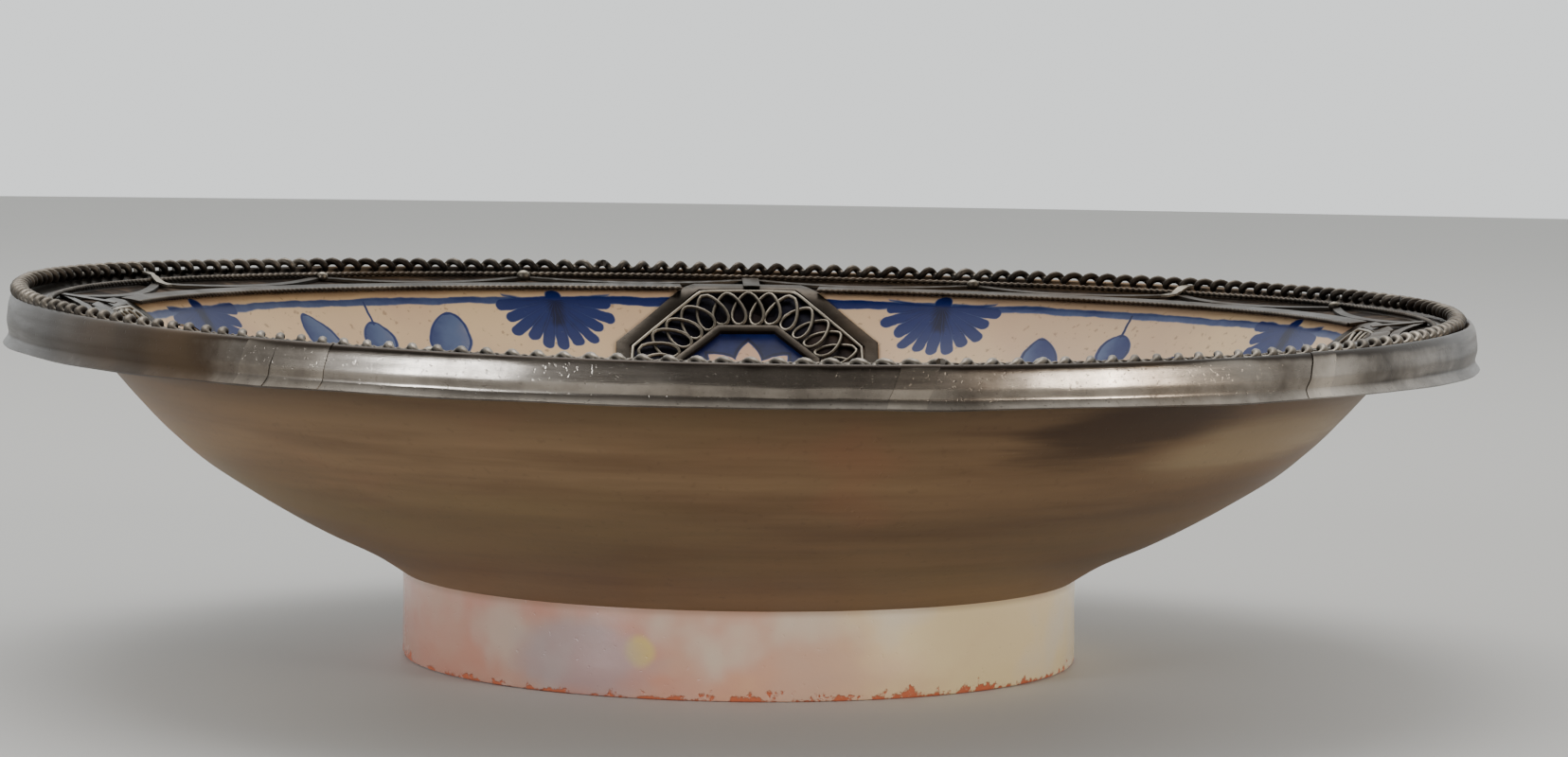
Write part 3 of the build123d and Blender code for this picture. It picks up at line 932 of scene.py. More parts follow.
pot = turn_section(section_points(), POT_STEPS)
bmesh.ops.recalc_face_normals(pot, faces=pot.faces[:])
for vertex in pot.verts:
    if vertex.normal.z < 0.2 and vertex.co.z > 1 * MM:
        level = Vector((vertex.co.x, vertex.co.y, 0.0)).normalized()
        lumps = noise.noise(vertex.co * 18.0) * 0.35 * MM
        vertex.co += level * (throwing_ring(vertex.co.z) + lumps * min(vertex.co.z / FOOT_HEIGHT, 1.0))
for face in pot.faces:
    face.material_index = glaze_of(face)
pot_piece = from_bmesh(pot, "bowl", ["ceramic_bowl"],
                       [OUTSIDE_GLAZE, FOOT_GLAZE, CLAY, INSIDE_GLAZE, SHADED_FLANGE], 30.0)
down_values = [down_at(math.hypot(vertex.co.x, vertex.co.y)) for vertex in pot_piece.data.vertices]
down_layer = pot_piece.data.attributes.new("down", "FLOAT", "POINT")
down_layer.data.foreach_set("value", np.array(down_values, np.float32))
print("pot faces", len(pot_piece.data.polygons))

# %% [markdown]
# ## The binding
#
# The edge is bound with strips of sheet, pressed over a moulded lip and folded over the rim.
# Each strip is a section spun through its own angle. Sheet that was bent by hand is never
# true, so its lip wanders a little and its face has shallow dents. Where two strips meet, one
# laps over the other, which shows as a step.

# %% The section of the sheet
BAND_LINE = [(175.0, 73.9), (174.2, 75.0), (173.7, 76.2), (173.9, 77.4), (174.15, 78.6), (174.1, 80.0),
             (173.9, 81.6), (173.7, 83.2), (173.2, 84.6), (172.6, 85.1), (172.0, 84.8), (171.6, 83.9),
             (170.8, 83.3), (169.4, 83.2), (167.5, 83.4), (165.4, 83.3), (165.0, 82.4)]
BAND_SHEET = 0.6 * MM
LAP_SHEET = 0.15 * MM
LAP_TONGUE = math.radians(1.9)
LAPS = [10.8, 44.1, 88.0, 132.0, 176.0, 222.0, 270.0, 324.3]
SLEEVE_SPAN = math.radians(4.4)
SLEEVE_START = math.radians(324.3) + LAP_TONGUE + math.radians(0.3)
STEP_ANGLE = math.radians(0.6)


def sheet_section(line, inner, outer):
    """A closed section: the line moved out by one distance, and back again by the other."""
    slopes = np.gradient(line, axis=0)
    slopes /= np.hypot(*slopes.T)[:, None]
    normals = np.column_stack((slopes[:, 1], -slopes[:, 0]))
    return np.vstack((line + normals * outer, (line - normals * inner)[::-1]))


def dents(angle, height):
    """How far the sheet is out of true, from gentle blows and handling."""
    place = Vector((math.sin(angle) * 5.5, math.cos(angle) * 5.5, height * 90.0))
    fine = noise.noise(place * 3.1 + Vector((4, 4, 4)))
    return (0.30 * noise.noise(place) + 0.13 * fine) * MM


def spin_sheet(line, start, span, inner, outer, slant=0.0):
    """One strip of sheet, spun from a start angle. Angles run from -Y towards +X."""
    bm = bmesh.new()
    section = sheet_section(line, inner, outer)
    ring = [bm.verts.new((0, -radius, height)) for radius, height in section]
    edges = [bm.edges.new((ring[index - 1], ring[index])) for index in range(len(ring))]
    steps = max(2, round(span / STEP_ANGLE))
    bmesh.ops.rotate(bm, cent=(0, 0, 0), matrix=Matrix.Rotation(start, 3, "Z"), verts=bm.verts[:])
    bmesh.ops.spin(bm, geom=ring + edges, cent=(0, 0, 0), axis=(0, 0, 1), dvec=(0, 0, 0),
                   angle=span, steps=steps, use_merge=False)
    bmesh.ops.holes_fill(bm, edges=[edge for edge in bm.edges if edge.is_boundary], sides=0)
    for vertex in bm.verts:
        angle = math.atan2(vertex.co.x, -vertex.co.y)
        level = Vector((vertex.co.x, vertex.co.y, 0.0)).normalized()
        droop = max(0.0, 1.0 - (vertex.co.z - 73.0 * MM) / (3.0 * MM))
        lip = noise.noise(Vector((math.sin(angle) * 6.0, math.cos(angle) * 6.0, 2.0)))
        vertex.co += level * dents(angle, vertex.co.z) * 0.9
        vertex.co.z += lip * droop * 0.45 * MM
        lean = Matrix.Rotation(slant * (vertex.co.z - LIP_HEIGHT) / RIM_RADIUS, 3, "Z")
        vertex.co = lean @ vertex.co
    return bm


print("strips in the binding", len(LAPS))


# %% [markdown]
# ## Laps and a repair sleeve
#
# The binding is eight strips, and each runs over the next. A short sleeve mends one of the
# laps. A single ring with lines drawn on it would be easier, but a drawn line catches no light.
# So each strip is spun between two laps and carries a short, thin tongue on its end, in a
# slightly brighter finish, a painted highlight where the lap catches the light. The sleeve is
# one more such tongue, in the same finish.

# %% Strips from lap to lap, and the repair sleeve
def join_bmesh(bm, other, material=0):
    """Add one bmesh's faces to another as a separate shell, with a material of their own."""
    for face in other.faces:
        face.material_index = material
    mesh = bpy.data.meshes.new("joined")
    other.to_mesh(mesh)
    other.free()
    bm.from_mesh(mesh)
    bpy.data.meshes.remove(mesh)


band_line = smooth_line(BAND_LINE, 46)
BAND_FACE_POINTS = 27
band_face = band_line[:BAND_FACE_POINTS]
for index, lap in enumerate(LAPS):
    start = math.radians(lap)
    following = math.radians(LAPS[(index + 1) % len(LAPS)])
    span = (following - start) % TURN
    strip = spin_sheet(band_line, start, span, BAND_SHEET, 0.0)
    tongue = spin_sheet(band_face, start + span - 0.4 * LAP_TONGUE, 1.4 * LAP_TONGUE, 0.0, LAP_SHEET, 0.3)
    join_bmesh(strip, tongue, 1)
    name = f"rim_band_{index + 1}"
    from_bmesh(strip, f"binding_{index + 1}", [name], [BINDING_METAL, LAP_METAL_HIGHLIGHT], 35.0)
sleeve = spin_sheet(band_face, SLEEVE_START, SLEEVE_SPAN, 0.0, LAP_SHEET, 0.2)
from_bmesh(sleeve, "repair_sleeve", ["rim_sleeve"], [LAP_METAL_HIGHLIGHT], 35.0)
print("pieces so far", len(pieces_made))

# %% [markdown]
# ## The rim coil
#
# A wire wound into an open coil lies on the rim. Spinning a circle along an axis would draw
# such a helix, but each turn adds to the work of the next. A quicker way is to roll a long
# grid into a tube: its length becomes the way along the wire, its width the way round it.
# Each quarter's coil is a length of its own, and the two sides were wound opposite ways.

# %% Roll a grid into a wire
WIRE_SIDES = 8


def rolled_wire(steps, sides, place, closed=False):
    """A wire whose points place(along, turn) gives, along in 0..1 and turn in radians."""
    bm = bmesh.new()
    bmesh.ops.create_grid(bm, x_segments=steps, y_segments=sides, size=1.0)
    for vertex in bm.verts:
        vertex.co = place((vertex.co.x + 1) / 2, vertex.co.y * math.pi)
    bmesh.ops.remove_doubles(bm, verts=bm.verts[:], dist=0.0005 * MM)
    if not closed:
        bmesh.ops.holes_fill(bm, edges=[edge for edge in bm.edges if edge.is_boundary], sides=0)
    return bm


print("sides of a rolled wire", WIRE_SIDES)

# %% [markdown]
# ## The coil's path
#
# The wire goes round a flat oval while it moves on along the rim. The usual way is one loop
# with an Array and a Curve modifier, but then all loops are alike. In a formula, a little noise
# makes one turn tighter and lets another slip. The formula also presses the coil down on the
# near side and pushes it out on the left, where it stands away from the rim.

# %% The coil's line, and its four lengths
QUARTER = TURN / 4
COIL_TURNS = 49
COIL_SPAN = QUARTER * 0.998
COIL_WIRE = 0.92 * MM
COIL_TALL = 0.93 * MM
COIL_WIDE = 1.32 * MM
COIL_TURN_STEPS = 14
COIL_CIRCLE = 169.4 * MM
COIL_HEIGHT = 85.62 * MM
COIL_PRESSED = 1.25 * MM
COIL_PUSHED = 2.0 * MM
COIL_FIRST = math.radians(-104.0)
COIL_HANDS = (-1, -1, 1, 1)


def coil_place(start, hand):
    """The placing function of one length of coil, wound to the left or to the right."""
    pitch = COIL_SPAN * COIL_CIRCLE / COIL_TURNS

    def place(along, turn):
        phase = TURN * COIL_TURNS * along
        loop = phase / TURN
        tight = 1.0 + 0.10 * noise.noise(Vector((loop * 0.7, start, 3.0)))
        sway = noise.noise(Vector((loop * 0.4, start, 9.0))) * 0.2 * MM
        slip = noise.noise(Vector((loop * 1.1, start, 6.0))) * 0.5 * MM
        outward = Vector((0.0, math.sin(phase), math.cos(phase)))
        wound = Vector((hand * pitch / TURN, COIL_WIDE * math.cos(phase), -COIL_TALL * math.sin(phase)))
        sideways = wound.cross(outward).normalized()
        middle = Vector((0.0, COIL_WIDE * math.sin(phase), COIL_TALL * math.cos(phase))) * tight
        point = middle + (outward * math.cos(turn) + sideways * math.sin(turn)) * COIL_WIRE
        first = start if hand > 0 else start + COIL_SPAN
        angle = first + hand * COIL_SPAN * along + (point.x + slip) / COIL_CIRCLE
        pressed = COIL_PRESSED * max(0.0, -math.cos(angle))
        pushed = COIL_PUSHED * max(0.0, -math.sin(angle)) ** 6
        radius = COIL_CIRCLE + point.y + sway + pushed
        return polar(angle, radius, COIL_HEIGHT + point.z - pressed + pushed * 0.3)
    return place


for index, hand in enumerate(COIL_HANDS):
    start = COIL_FIRST - index * QUARTER
    coil = rolled_wire(COIL_TURNS * COIL_TURN_STEPS, WIRE_SIDES, coil_place(start, hand))
    from_bmesh(coil, f"rim_coil_length_{index + 1}", [f"rim_coil_{index + 1}"],
               [COIL_METAL], 60.0)
print("coil turns", COIL_TURNS * 4)

# %% [markdown]
# ## Strips on the flange
#
# Flat strips are cut from sheet and soldered between the binding and the inner ring. Each
# starts as a grid, long and narrow, whose points are then laid along a line on the flange.
# Extruding gives the sheet its thickness, and a small bevel catches the light on its edges.

# %% Lay a strip of sheet along a line
STRIP_SHEET = 0.7 * MM


def laid_strip(length_steps, place, lift, sheet=STRIP_SHEET, bevel=0.14 * MM):
    """A strip whose points place(along, side, lift) gives, along in 0..1 and side in -1..1."""
    bm = bmesh.new()
    bmesh.ops.create_grid(bm, x_segments=length_steps, y_segments=2, size=1.0)
    raised = bmesh.ops.extrude_face_region(bm, geom=bm.faces[:])
    for item in raised["geom"]:
        if isinstance(item, bmesh.types.BMVert):
            item.co.z = 1.0
    rims = [edge for edge in bm.edges if len(edge.link_faces) == 2 and edge.calc_face_angle() > 1.0]
    tops = [edge for edge in rims if all(vertex.co.z > 0.5 for vertex in edge.verts)]
    for vertex in bm.verts:
        vertex.co = place((vertex.co.x + 1) / 2, vertex.co.y, lift + sheet * vertex.co.z)
    bmesh.ops.bevel(bm, geom=tops, offset=bevel, segments=2, profile=0.5, affect="EDGES", material=-1)
    return bm


print("strips are", round(STRIP_SHEET / MM, 2), "mm thick")

# %% [markdown]
# ## The ring and the scallops
#
# A flat ring edges the flange between the medallions. A scalloped strip swings from node to
# node between that ring and the binding. Both could be cut out of a disc with booleans. The
# real strip was bent from a ribbon, so it is laid as one: each scallop is an arc through two
# nodes, and a little noise lets it wander as hand work does.

# %% Inner ring lengths and the scalloped strip
RING_RADII = (149.6 * MM, 154.0 * MM)
RING_END = math.radians(7.2)
NODE_COUNT = 16
NODE_PITCH = TURN / NODE_COUNT
SCALLOP_NODE = 163.4 * MM
SCALLOP_MIDDLE = 155.3 * MM
SCALLOP_HALF_WIDTH = 1.15 * MM


def scallop_radius(angle):
    """Radius of the scalloped line at an angle: arcs that bow in between the nodes."""
    offset = (angle + NODE_PITCH / 2) % NODE_PITCH - NODE_PITCH / 2
    offset = NODE_PITCH / 2 - abs(offset)
    half_chord = SCALLOP_NODE * math.sin(NODE_PITCH / 2)
    sagitta = SCALLOP_NODE * math.cos(NODE_PITCH / 2) - SCALLOP_MIDDLE
    radius = (half_chord**2 + sagitta**2) / (2 * sagitta)
    centre = SCALLOP_MIDDLE + radius
    return centre * math.cos(offset) - math.sqrt(radius**2 - (centre * math.sin(offset)) ** 2)


def ring_place(quarter):
    """The placing function of one length of the inner ring."""
    def place(along, side, lift):
        angle = -quarter * QUARTER - QUARTER + RING_END + along * (QUARTER - 2 * RING_END)
        radius = (RING_RADII[0] + RING_RADII[1]) / 2 + side * (RING_RADII[1] - RING_RADII[0]) / 2
        return on_flange(angle, radius, lift)
    return place


def scallop_place(quarter):
    """The placing function of one quarter of the scalloped strip."""
    def place(along, side, lift):
        angle = -quarter * QUARTER - QUARTER + along * QUARTER
        wander = noise.noise(Vector((angle * 7.0, 1.0, 5.0))) * 0.35 * MM
        return on_flange(angle, scallop_radius(angle) + side * SCALLOP_HALF_WIDTH + wander, lift)
    return place


for quarter in range(4):
    ring = laid_strip(60, ring_place(quarter), 0.25 * MM)
    ring_node = [f"inner_ring_{(quarter + 3) % 4 + 1}"]
    from_bmesh(ring, f"inner_ring_length_{quarter + 1}", ring_node, [STRIP_METAL])
    scallops = laid_strip(96, scallop_place(quarter), 0.25 * MM)
    scallop_node = [f"scallop_strip_{(quarter + 1) % 4 + 1}"]
    from_bmesh(scallops, f"scallops_{quarter + 1}", scallop_node, [STRIP_METAL])
print("scallop nodes", NODE_COUNT, "pieces so far", len(pieces_made))

# %% [markdown]
# ## Twisted wires
#
# Two thin wires twisted together edge the fold and the inner ring. Seen closely they make a
# row of slanting beads. Two separate helices would need very many faces. One rolled grid does
# it with few: each ring of its points is pressed into a shape with two lobes, and that shape
# turns as it goes along.

# %% A two-strand twist along a circle
def twisted_wire(start, span, radius, wire, bead, lift, closed=False):
    """A twist of two strands along the flange. Each bead is half a turn of the twist."""
    steps = max(4, round(span * radius / bead * 5))

    def place(along, turn):
        phase = turn - math.pi * span * radius * along / bead
        reach = wire * (1.0 + 0.32 * math.cos(2 * phase))
        angle = start + span * along
        out = reach * math.cos(turn)
        return on_flange(angle, radius, lift) + polar(angle, out, reach * math.sin(turn))
    return rolled_wire(steps, WIRE_SIDES, place, closed)


OUTER_WIRE = (164.3 * MM, 0.50 * MM)
OUTER_BEADS = 516
INNER_WIRE = (149.1 * MM, 0.46 * MM)
INNER_BEAD = 1.65 * MM
outer_radius, outer_wire = OUTER_WIRE
outer_bead = TURN * outer_radius / OUTER_BEADS
outer_twist = twisted_wire(0.0, TURN, outer_radius, outer_wire, outer_bead, 1.35 * MM, True)
from_bmesh(outer_twist, "fold_twist", ["outer_twist_wire"], [TWIST_METAL], 80.0)
for quarter in range(4):
    inner_radius, inner_wire = INNER_WIRE
    start = -quarter * QUARTER - QUARTER + RING_END
    twist = twisted_wire(start, QUARTER - 2 * RING_END, inner_radius, inner_wire, INNER_BEAD, 0.6 * MM)
    wire_node = [f"inner_twist_wire_{(quarter + 3) % 4 + 1}"]
    from_bmesh(twist, f"ring_twist_{quarter + 1}", wire_node, [TWIST_METAL], 80.0)
print("a bead of the outer twist is", round(outer_bead / MM, 2), "mm long")

# %% [markdown]
# ## Medallions
#
# A medallion is drawn flat, as it was made, and then bent to the wall. Its frame is an
# octagon with a smaller octagon taken out, which inset_region makes in one step. The flat
# piece is cut across often enough to bend, thickened, and laid on the wall point by point.

# %% Octagonal frames
MEDALLION_WIDTH = 72.6 * MM
FRAME_WIDTH = 3.8 * MM
EDGE_WIRE = 0.5 * MM
LATTICE_WIDTH = 11.4 * MM
INNER_FRAME_WIDTH = 2.2 * MM
LATTICE_WIRE = 0.52 * MM
LATTICE_LOOPS = 32
OCTAGON_SIDES = 8
OCTAGON_SIDE_ANGLE = TURN / OCTAGON_SIDES
BEND_CUTS = 9


def octagon_frame(width, band, height, place, lift, bevel=0.25 * MM):
    """A flat octagonal frame, bent into place: width across its flats, and its band's width."""
    bm = bmesh.new()
    corner_reach = width / 2 / math.cos(OCTAGON_SIDE_ANGLE / 2)
    bmesh.ops.create_circle(bm, segments=OCTAGON_SIDES, radius=corner_reach, cap_ends=True)
    turn = Matrix.Rotation(OCTAGON_SIDE_ANGLE / 2, 3, "Z")
    bmesh.ops.rotate(bm, cent=(0, 0, 0), matrix=turn, verts=bm.verts[:])
    middle = bm.faces[:]
    bmesh.ops.inset_region(bm, faces=middle, thickness=band, use_even_offset=True, use_boundary=True)
    bmesh.ops.delete(bm, geom=middle, context="FACES_ONLY")
    loose = [edge for edge in bm.edges if not edge.link_faces]
    bmesh.ops.delete(bm, geom=loose, context="EDGES")
    long_edges = [edge for edge in bm.edges if edge.calc_length() > band * 1.5]
    bmesh.ops.subdivide_edges(bm, edges=long_edges, cuts=BEND_CUTS, use_grid_fill=True)
    raised = bmesh.ops.extrude_face_region(bm, geom=bm.faces[:])
    tops = [item for item in raised["geom"] if isinstance(item, bmesh.types.BMVert)]
    bmesh.ops.translate(bm, vec=(0, 0, height), verts=tops)
    rims = [edge for edge in bm.edges if len(edge.link_faces) == 2 and edge.calc_face_angle() > 1.0
            and all(vertex.co.z > height / 2 for vertex in edge.verts)]
    bmesh.ops.bevel(bm, geom=rims, offset=bevel, segments=2, profile=0.5, affect="EDGES", material=-1)
    for vertex in bm.verts:
        vertex.co = place(vertex.co.x, vertex.co.y, lift + vertex.co.z)
    return bm


print("a medallion is", round(MEDALLION_WIDTH / MM, 1), "mm across")


# %% [markdown]
# ## Wires that follow a formula
#
# The lattice is one wire, wound as a coil and pressed flat, then led round the octagon. No
# turning of a shape gives that, but a formula gives the wire's middle line, and a curve object
# with a round bevel gives the wire. The curve is made a mesh before it is handed over.

# %% A wire from its middle line
WIRE_ROUNDNESS = 1


def wire_mesh(points, radius, closed):
    """The mesh of a round wire along points."""
    curve = bpy.data.curves.new("wire", "CURVE")
    curve.dimensions = "3D"
    curve.bevel_depth = radius
    curve.bevel_resolution = WIRE_ROUNDNESS
    curve.use_fill_caps = not closed
    spline = curve.splines.new("POLY")
    spline.points.add(len(points) - 1)
    for target, point in zip(spline.points, points):
        target.co = (*point, 1.0)
    spline.use_cyclic_u = closed
    holder = bpy.data.objects.new("wire", curve)
    bpy.context.scene.collection.objects.link(holder)
    bpy.context.view_layer.update()
    mesh = bpy.data.meshes.new_from_object(holder)
    bpy.data.objects.remove(holder)
    bpy.data.curves.remove(curve)
    return mesh


print("sides of a curve's wire", 4 + 2 * WIRE_ROUNDNESS)


# %% [markdown]
# ## The paths of two wires
#
# The edge wire follows an octagon with eased corners, as wire doesn't bend sharply. The lattice
# is a coil pressed flat: its wire swings to and fro along the octagon while it goes in and out.
# One even swing gives plain ovals. A second swing, twice as fast, makes them fat near the inner
# frame and draws them together towards the outer one, as drops are. A small rise and fall lets
# the wire cross itself.

# %% The octagon's line and the flattened coil that follows it
def octagon_point(width, share, softness):
    """A point on an octagon at a share of the way round, and its outward direction."""
    angle = share * TURN
    side = round(angle / OCTAGON_SIDE_ANGLE) * OCTAGON_SIDE_ANGLE
    off = angle - side
    reach = width / 2 / math.cos(off) ** (1.0 - softness)
    outward = side + off * 0.8
    return (Vector((math.sin(angle), math.cos(angle))) * reach,
            Vector((math.sin(outward), math.cos(outward))))


def octagon_wire(width, place, lift, softness=0.12, steps=160):
    """The line of a plain wire round an octagon."""
    line = []
    for step in range(steps):
        point, _ = octagon_point(width, step / steps, softness)
        line.append(place(point.x, point.y, lift))
    return line


def lattice_wire(outer, inner, place, lift, seed, steps=18):
    """The flattened coil's line: drops side by side inside, arches that cross outside."""
    middle = (outer + inner) / 2
    half = (outer - inner) / 4 - LATTICE_WIRE * 0.8
    pitch = math.pi * middle * 1.03 / LATTICE_LOOPS
    sway = 0.54 * pitch
    fatter = 0.138 * pitch
    crossing = 0.5 * MM
    line = []
    for step in range(LATTICE_LOOPS * steps):
        phase = TURN * step / steps
        loop = phase / TURN
        uneven = noise.noise(Vector((loop * 0.9, seed, 0.0)))
        swing = sway * math.sin(phase) - fatter * math.sin(2 * phase)
        slide = (swing + uneven * 0.7 * MM) / (pitch * LATTICE_LOOPS)
        point, outward = octagon_point(middle, loop / LATTICE_LOOPS + slide, 0.3)
        point = point + outward * half * math.cos(phase) * (1.0 + 0.06 * uneven)
        line.append(place(point.x, point.y, lift + crossing * math.sin(phase)))
    return line


print("loops in a lattice", LATTICE_LOOPS)


# %% [markdown]
# ## Laying a medallion on the wall
#
# Four medallions lie on the wall and one on the floor. A Curve or a Lattice modifier could bend
# them into place, but the finished points are wanted in the mesh itself. So each has a placing
# function. A small tilt and shift of its own keeps it from looking like a stamped copy.

# %% Where a medallion lies
def wall_place(angle, seed):
    """The placing function of a wall medallion: drawn with +Y up, laid with +Y up the wall."""
    tilt = 0.02 * math.sin(seed * 5.0 + 1.0)
    shift = 0.5 * MM * math.sin(seed * 3.0)

    def place(x, y, lift):
        across = x * math.cos(tilt) - y * math.sin(tilt) + shift
        up = x * math.sin(tilt) + y * math.cos(tilt)
        return on_wall(angle, across, MEDALLION_DOWN * MM - up, lift)
    return place


def floor_place(x, y, lift):
    """The placing function of the centre medallion."""
    return on_floor(x, y, lift)


print("a medallion's middle is", MEDALLION_DOWN, "mm down the wall")


# %% [markdown]
# ## The four parts of a medallion
#
# From the outside in there are a flat frame, a wire soldered along its inner edge, the lattice,
# and a raised inner frame. A dark sheet behind the lattice hides the glaze and is painted shade,
# seen through the lattice's cells. Four separate models might not meet, so one function makes
# all the parts from the same widths. It is called once for each medallion.

# %% Make the five medallions
def medallion(label, place, nodes, seed):
    """Frame, edge wire, lattice and inner frame of one medallion."""
    frame_inside = MEDALLION_WIDTH - 2 * FRAME_WIDTH
    wire_line = frame_inside - 2 * EDGE_WIRE
    lattice_outer = wire_line - 2 * EDGE_WIRE
    lattice_inner = lattice_outer - 2 * LATTICE_WIDTH
    outer_frame = octagon_frame(MEDALLION_WIDTH, FRAME_WIDTH, 0.8 * MM, place, 0.3 * MM)
    from_bmesh(outer_frame, f"{label}_frame", [nodes["frame"]], [STRIP_METAL])
    edge = wire_mesh(octagon_wire(wire_line, place, 0.85 * MM), EDGE_WIRE, True)
    hand_over(edge, f"{label}_edge_wire", [nodes["edge_wire"]], [EDGE_METAL], 80.0)
    wound_line = lattice_wire(lattice_outer, lattice_inner, place, 1.15 * MM, seed)
    wound = wire_mesh(wound_line, LATTICE_WIRE, True)
    # The dark backing sheet is painted shade behind the lattice.
    backing = octagon_frame(lattice_outer + 0.6 * MM, LATTICE_WIDTH + 0.4 * MM, 0.12 * MM, place,
                            0.22 * MM, 0.02 * MM)
    for face in backing.faces:
        face.material_index = 1
    backing.from_mesh(wound)
    bpy.data.meshes.remove(wound)
    from_bmesh(backing, f"{label}_lattice", [nodes["lattice"]],
               [LATTICE_METAL, SHADE_BACKING], 80.0)
    inner_frame = octagon_frame(lattice_inner, INNER_FRAME_WIDTH, 1.5 * MM, place, 0.3 * MM, 0.45 * MM)
    from_bmesh(inner_frame, f"{label}_inner_frame", [nodes["inner_frame"]],
               [STRIP_METAL])


PIECES = ("frame", "edge_wire", "lattice", "inner_frame")
for index in range(4):
    nodes = {piece: f"wall_medallion_{piece}_{index + 1}" for piece in PIECES}
    medallion(f"wall_medallion_{index + 1}", wall_place(-index * QUARTER, index), nodes, index)
CENTRE_NODES = {piece: f"centre_medallion_{piece}" for piece in PIECES}
CENTRE_SEED = 7
medallion("centre_medallion", floor_place, CENTRE_NODES, CENTRE_SEED)
print("pieces so far", len(pieces_made), "curves left over", len(bpy.data.curves))

# %% [markdown]
# ## Small fittings
#
# Plates tie the medallions to the scallops, straps run down to the centre medallion, domes of
# solder sit on the nodes, and a few clips hold the openwork down. They are small, but they
# break up the rows, and no two lie quite alike.

# %% Plates and straps
PLATE_WIDTH = 4.6 * MM
STRAP_WIDTH = 6.0 * MM
STRAP_TOP = MEDALLION_DOWN * MM + 36.0 * MM
STRAP_FOOT = down_at(36.5 * MM)


def strap_place(angle):
    """The placing function of a strap, from a wall medallion down to the centre one."""
    def place(along, side, lift):
        down = STRAP_TOP + along * (STRAP_FOOT - STRAP_TOP)
        return on_wall(angle, side * STRAP_WIDTH / 2, down, lift)
    return place


def plate_place(angle, skew):
    """The placing function of a plate across the flange, from the scallops to a medallion."""
    def place(along, side, lift):
        radius = (164.5 - 13.3 * along) * MM
        return on_flange(angle + (side * PLATE_WIDTH / 2 + skew * along) / radius, radius, lift)
    return place


for index in range(4):
    angle = -index * QUARTER
    plate = laid_strip(10, plate_place(angle, 0.8 * MM * math.sin(index + 1.0)), 0.9 * MM, 0.35 * MM)
    from_bmesh(plate, f"link_plate_piece_{index + 1}", [f"link_plate_{index + 1}"],
               [STRIP_METAL])
    strap = laid_strip(28, strap_place(angle), 0.3 * MM, 0.7 * MM)
    from_bmesh(strap, f"link_strap_piece_{index + 1}", [f"link_strap_{index + 1}"],
               [STRIP_METAL])
print("a strap is", round((STRAP_FOOT - STRAP_TOP) / MM, 1), "mm long")

# %% [markdown]
# ## Domes and clips
#
# Drops of solder sit where the scallops reach the binding, and four clips climb from the
# scallops over the fold. A drop could be sculpted, but only its top shows, so it is a small
# sphere, pressed a little flat and sunk into the strip. No two have quite the same size. The
# clips are short strips whose height follows a smooth step.

# %% Solder domes and clips
CLIP_NODES = (3, 6, 11, 14)
PLATE_EVERY = 4
DOME_SIZE = 1.6
DOME_REACH = 162.4 * MM


def node_angle(index):
    """The angle of a node of the scallops. The nodes are numbered from +Y towards -X."""
    return -index * NODE_PITCH


domes = bmesh.new()
for index in range(NODE_COUNT):
    if index % PLATE_EVERY and index not in CLIP_NODES:
        size = (DOME_SIZE + 0.2 * math.sin(index * 2.3)) * MM
        angle = node_angle(index) + 0.004 * math.sin(index * 4.0)
        made = bmesh.ops.create_uvsphere(domes, u_segments=16, v_segments=10, radius=size)["verts"]
        bmesh.ops.scale(domes, vec=(1.1, 1.0, 0.85), verts=made)
        bmesh.ops.translate(domes, vec=on_flange(angle, DOME_REACH, 1.25 * MM), verts=made)
from_bmesh(domes, "solder_domes", ["node_domes"], [LATTICE_METAL], 60.0)


def clip_place(angle):
    """The placing function of a clip, which climbs from the scallops over the fold."""
    def place(along, side, lift):
        radius = (158.8 + 8.4 * along) * MM
        climb = 1.5 * MM * (1 / (1 + math.exp(-(along - 0.55) * 14)))
        return on_flange(angle + side * 0.0078 + (along - 0.5) * 0.012, radius, lift + climb)
    return place


clips = None
for index in CLIP_NODES:
    clip = laid_strip(12, clip_place(node_angle(index)), 0.95 * MM, 0.5 * MM)
    if clips is None:
        clips = clip
    else:
        join_bmesh(clips, clip)
from_bmesh(clips, "openwork_clips", ["rim_clips"], [EDGE_METAL])
print("pieces", len(pieces_made), "faces", sum(count for _, count in pieces_made))

# %% [markdown]
# ## Floor and light
#
# A plain pale floor and soft light show the object as it is. Metal and glaze need something to
# reflect: two large soft boxes stand to the left and the right of the camera, with a darker gap
# between them, and a broad one hangs above. The world fills in the rest.

# %% Floor
floor_bm = bmesh.new()
bmesh.ops.create_circle(floor_bm, segments=96, radius=4.0, cap_ends=True)
floor_mesh = bpy.data.meshes.new("floor")
floor_bm.to_mesh(floor_mesh)
floor_bm.free()
floor = bpy.data.objects.new("floor", floor_mesh)
bpy.context.scene.collection.objects.link(floor)
floor_material, _, floor_shader = new_material("plain floor", 0.6)
floor_shader.inputs["Base Color"].default_value = colour(196, 194, 190)
floor_mesh.materials.append(floor_material)
print("floor faces", len(floor_mesh.polygons))


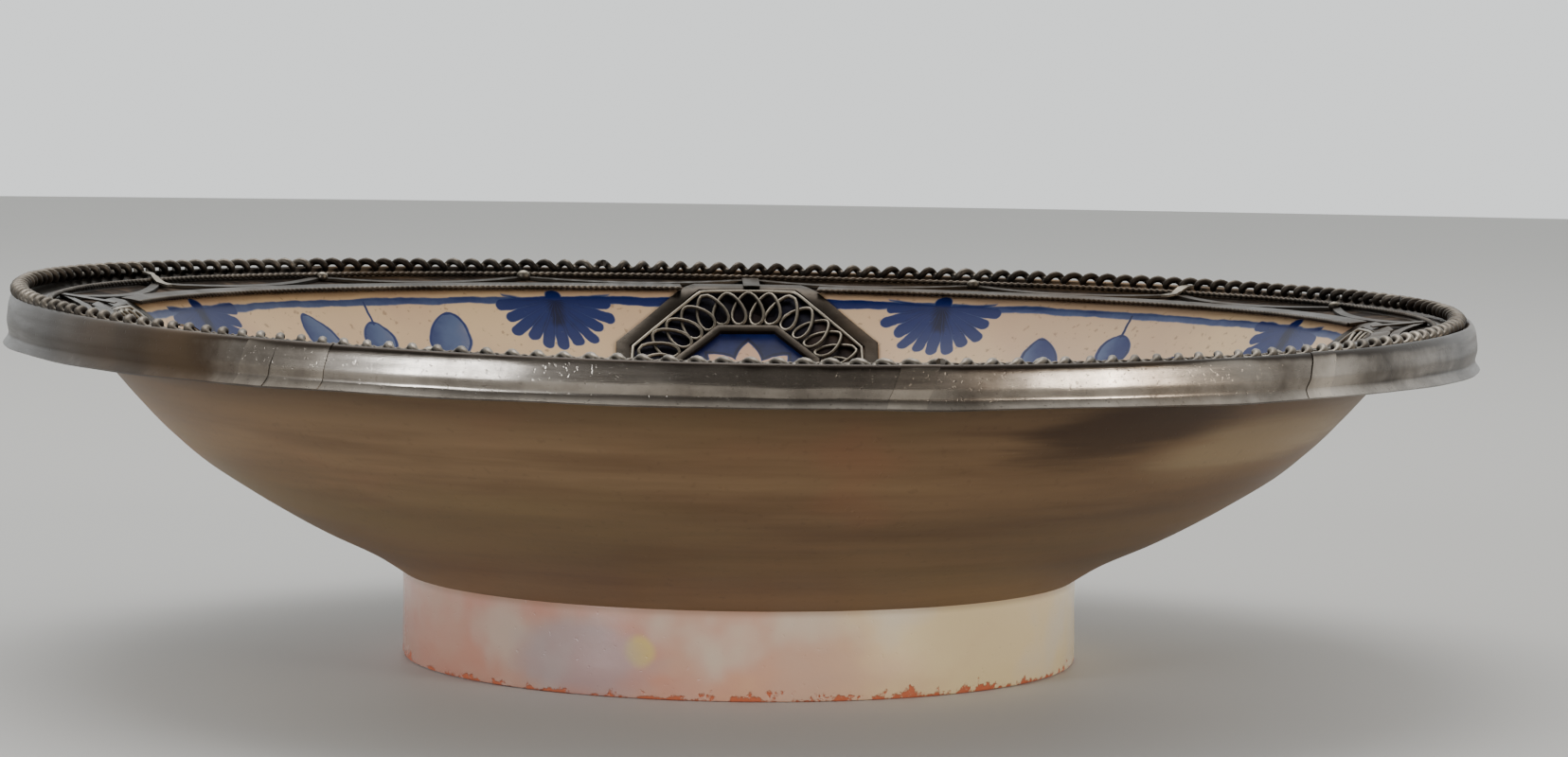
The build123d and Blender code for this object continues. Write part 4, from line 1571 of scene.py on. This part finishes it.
# %% [markdown]
# ## Soft boxes
#
# Metal looks like what it reflects. A point light would give it small hard dots, and a large
# rectangle gives the long soft glints along the binding. The left box is cool like a window and
# the right one is warm. The one above opens up the far wall. Each is turned so that its -Z,
# the way a light shines, points at the bowl.

# %% Lights
def soft_box(name, place, aim, width, height, power, tint=(1.0, 1.0, 1.0)):
    """A large rectangular light that points at a place."""
    light = bpy.data.lights.new(name, "AREA")
    light.shape = "RECTANGLE"
    light.size = width
    light.size_y = height
    light.energy = power
    light.color = tint
    box = bpy.data.objects.new(name, light)
    direction = Vector(aim) - Vector(place)
    facing_aim = direction.to_track_quat("-Z", "Y").to_matrix().to_4x4()
    box.matrix_world = Matrix.Translation(place) @ facing_aim
    bpy.context.scene.collection.objects.link(box)


BOWL_MIDDLE = (0.0, 0.0, 0.05)
soft_box("window_left", (-1.35, -1.45, 0.42), BOWL_MIDDLE, 0.45, 0.8, 26.0, (0.90, 0.95, 1.0))
soft_box("window_right", (1.52, -1.15, 0.42), BOWL_MIDDLE, 0.5, 0.8, 22.0, (1.0, 0.93, 0.84))
soft_box("ceiling", (-0.2, 0.7, 1.9), BOWL_MIDDLE, 1.6, 1.2, 20.0)
print("lights", len(bpy.data.lights))


# %% [markdown]
# ## The room
#
# Everything else that the metal reflects is the world. One even grey would make it look like
# plastic, and a picture of a real room would bring its furniture along. A smooth change from a
# darker front to a lighter back is enough: the binding has something dark to show, and what is
# seen behind the bowl stays light.

# %% A world that is darker on the camera's side
def room(front, back):
    """A plain grey room, from a darker front, behind the camera, to a lighter back."""
    world = bpy.data.worlds.new("studio")
    world.use_nodes = True
    tree = world.node_tree
    direction = tree.nodes.new("ShaderNodeTexCoord").outputs["Generated"]
    split = tree.nodes.new("ShaderNodeSeparateXYZ")
    tree.links.new(direction, split.inputs["Vector"])
    share = Field(tree, split.outputs["Y"]).between(-0.7, 0.6)
    background = tree.nodes["Background"]
    plug(tree, mix_colours(tree, share, front, back), background.inputs["Color"])
    background.inputs["Strength"].default_value = 1.5
    bpy.context.scene.world = world


room(colour(84, 82, 80), colour(226, 229, 229))
print("world", bpy.context.scene.world.name)

# %% [markdown]
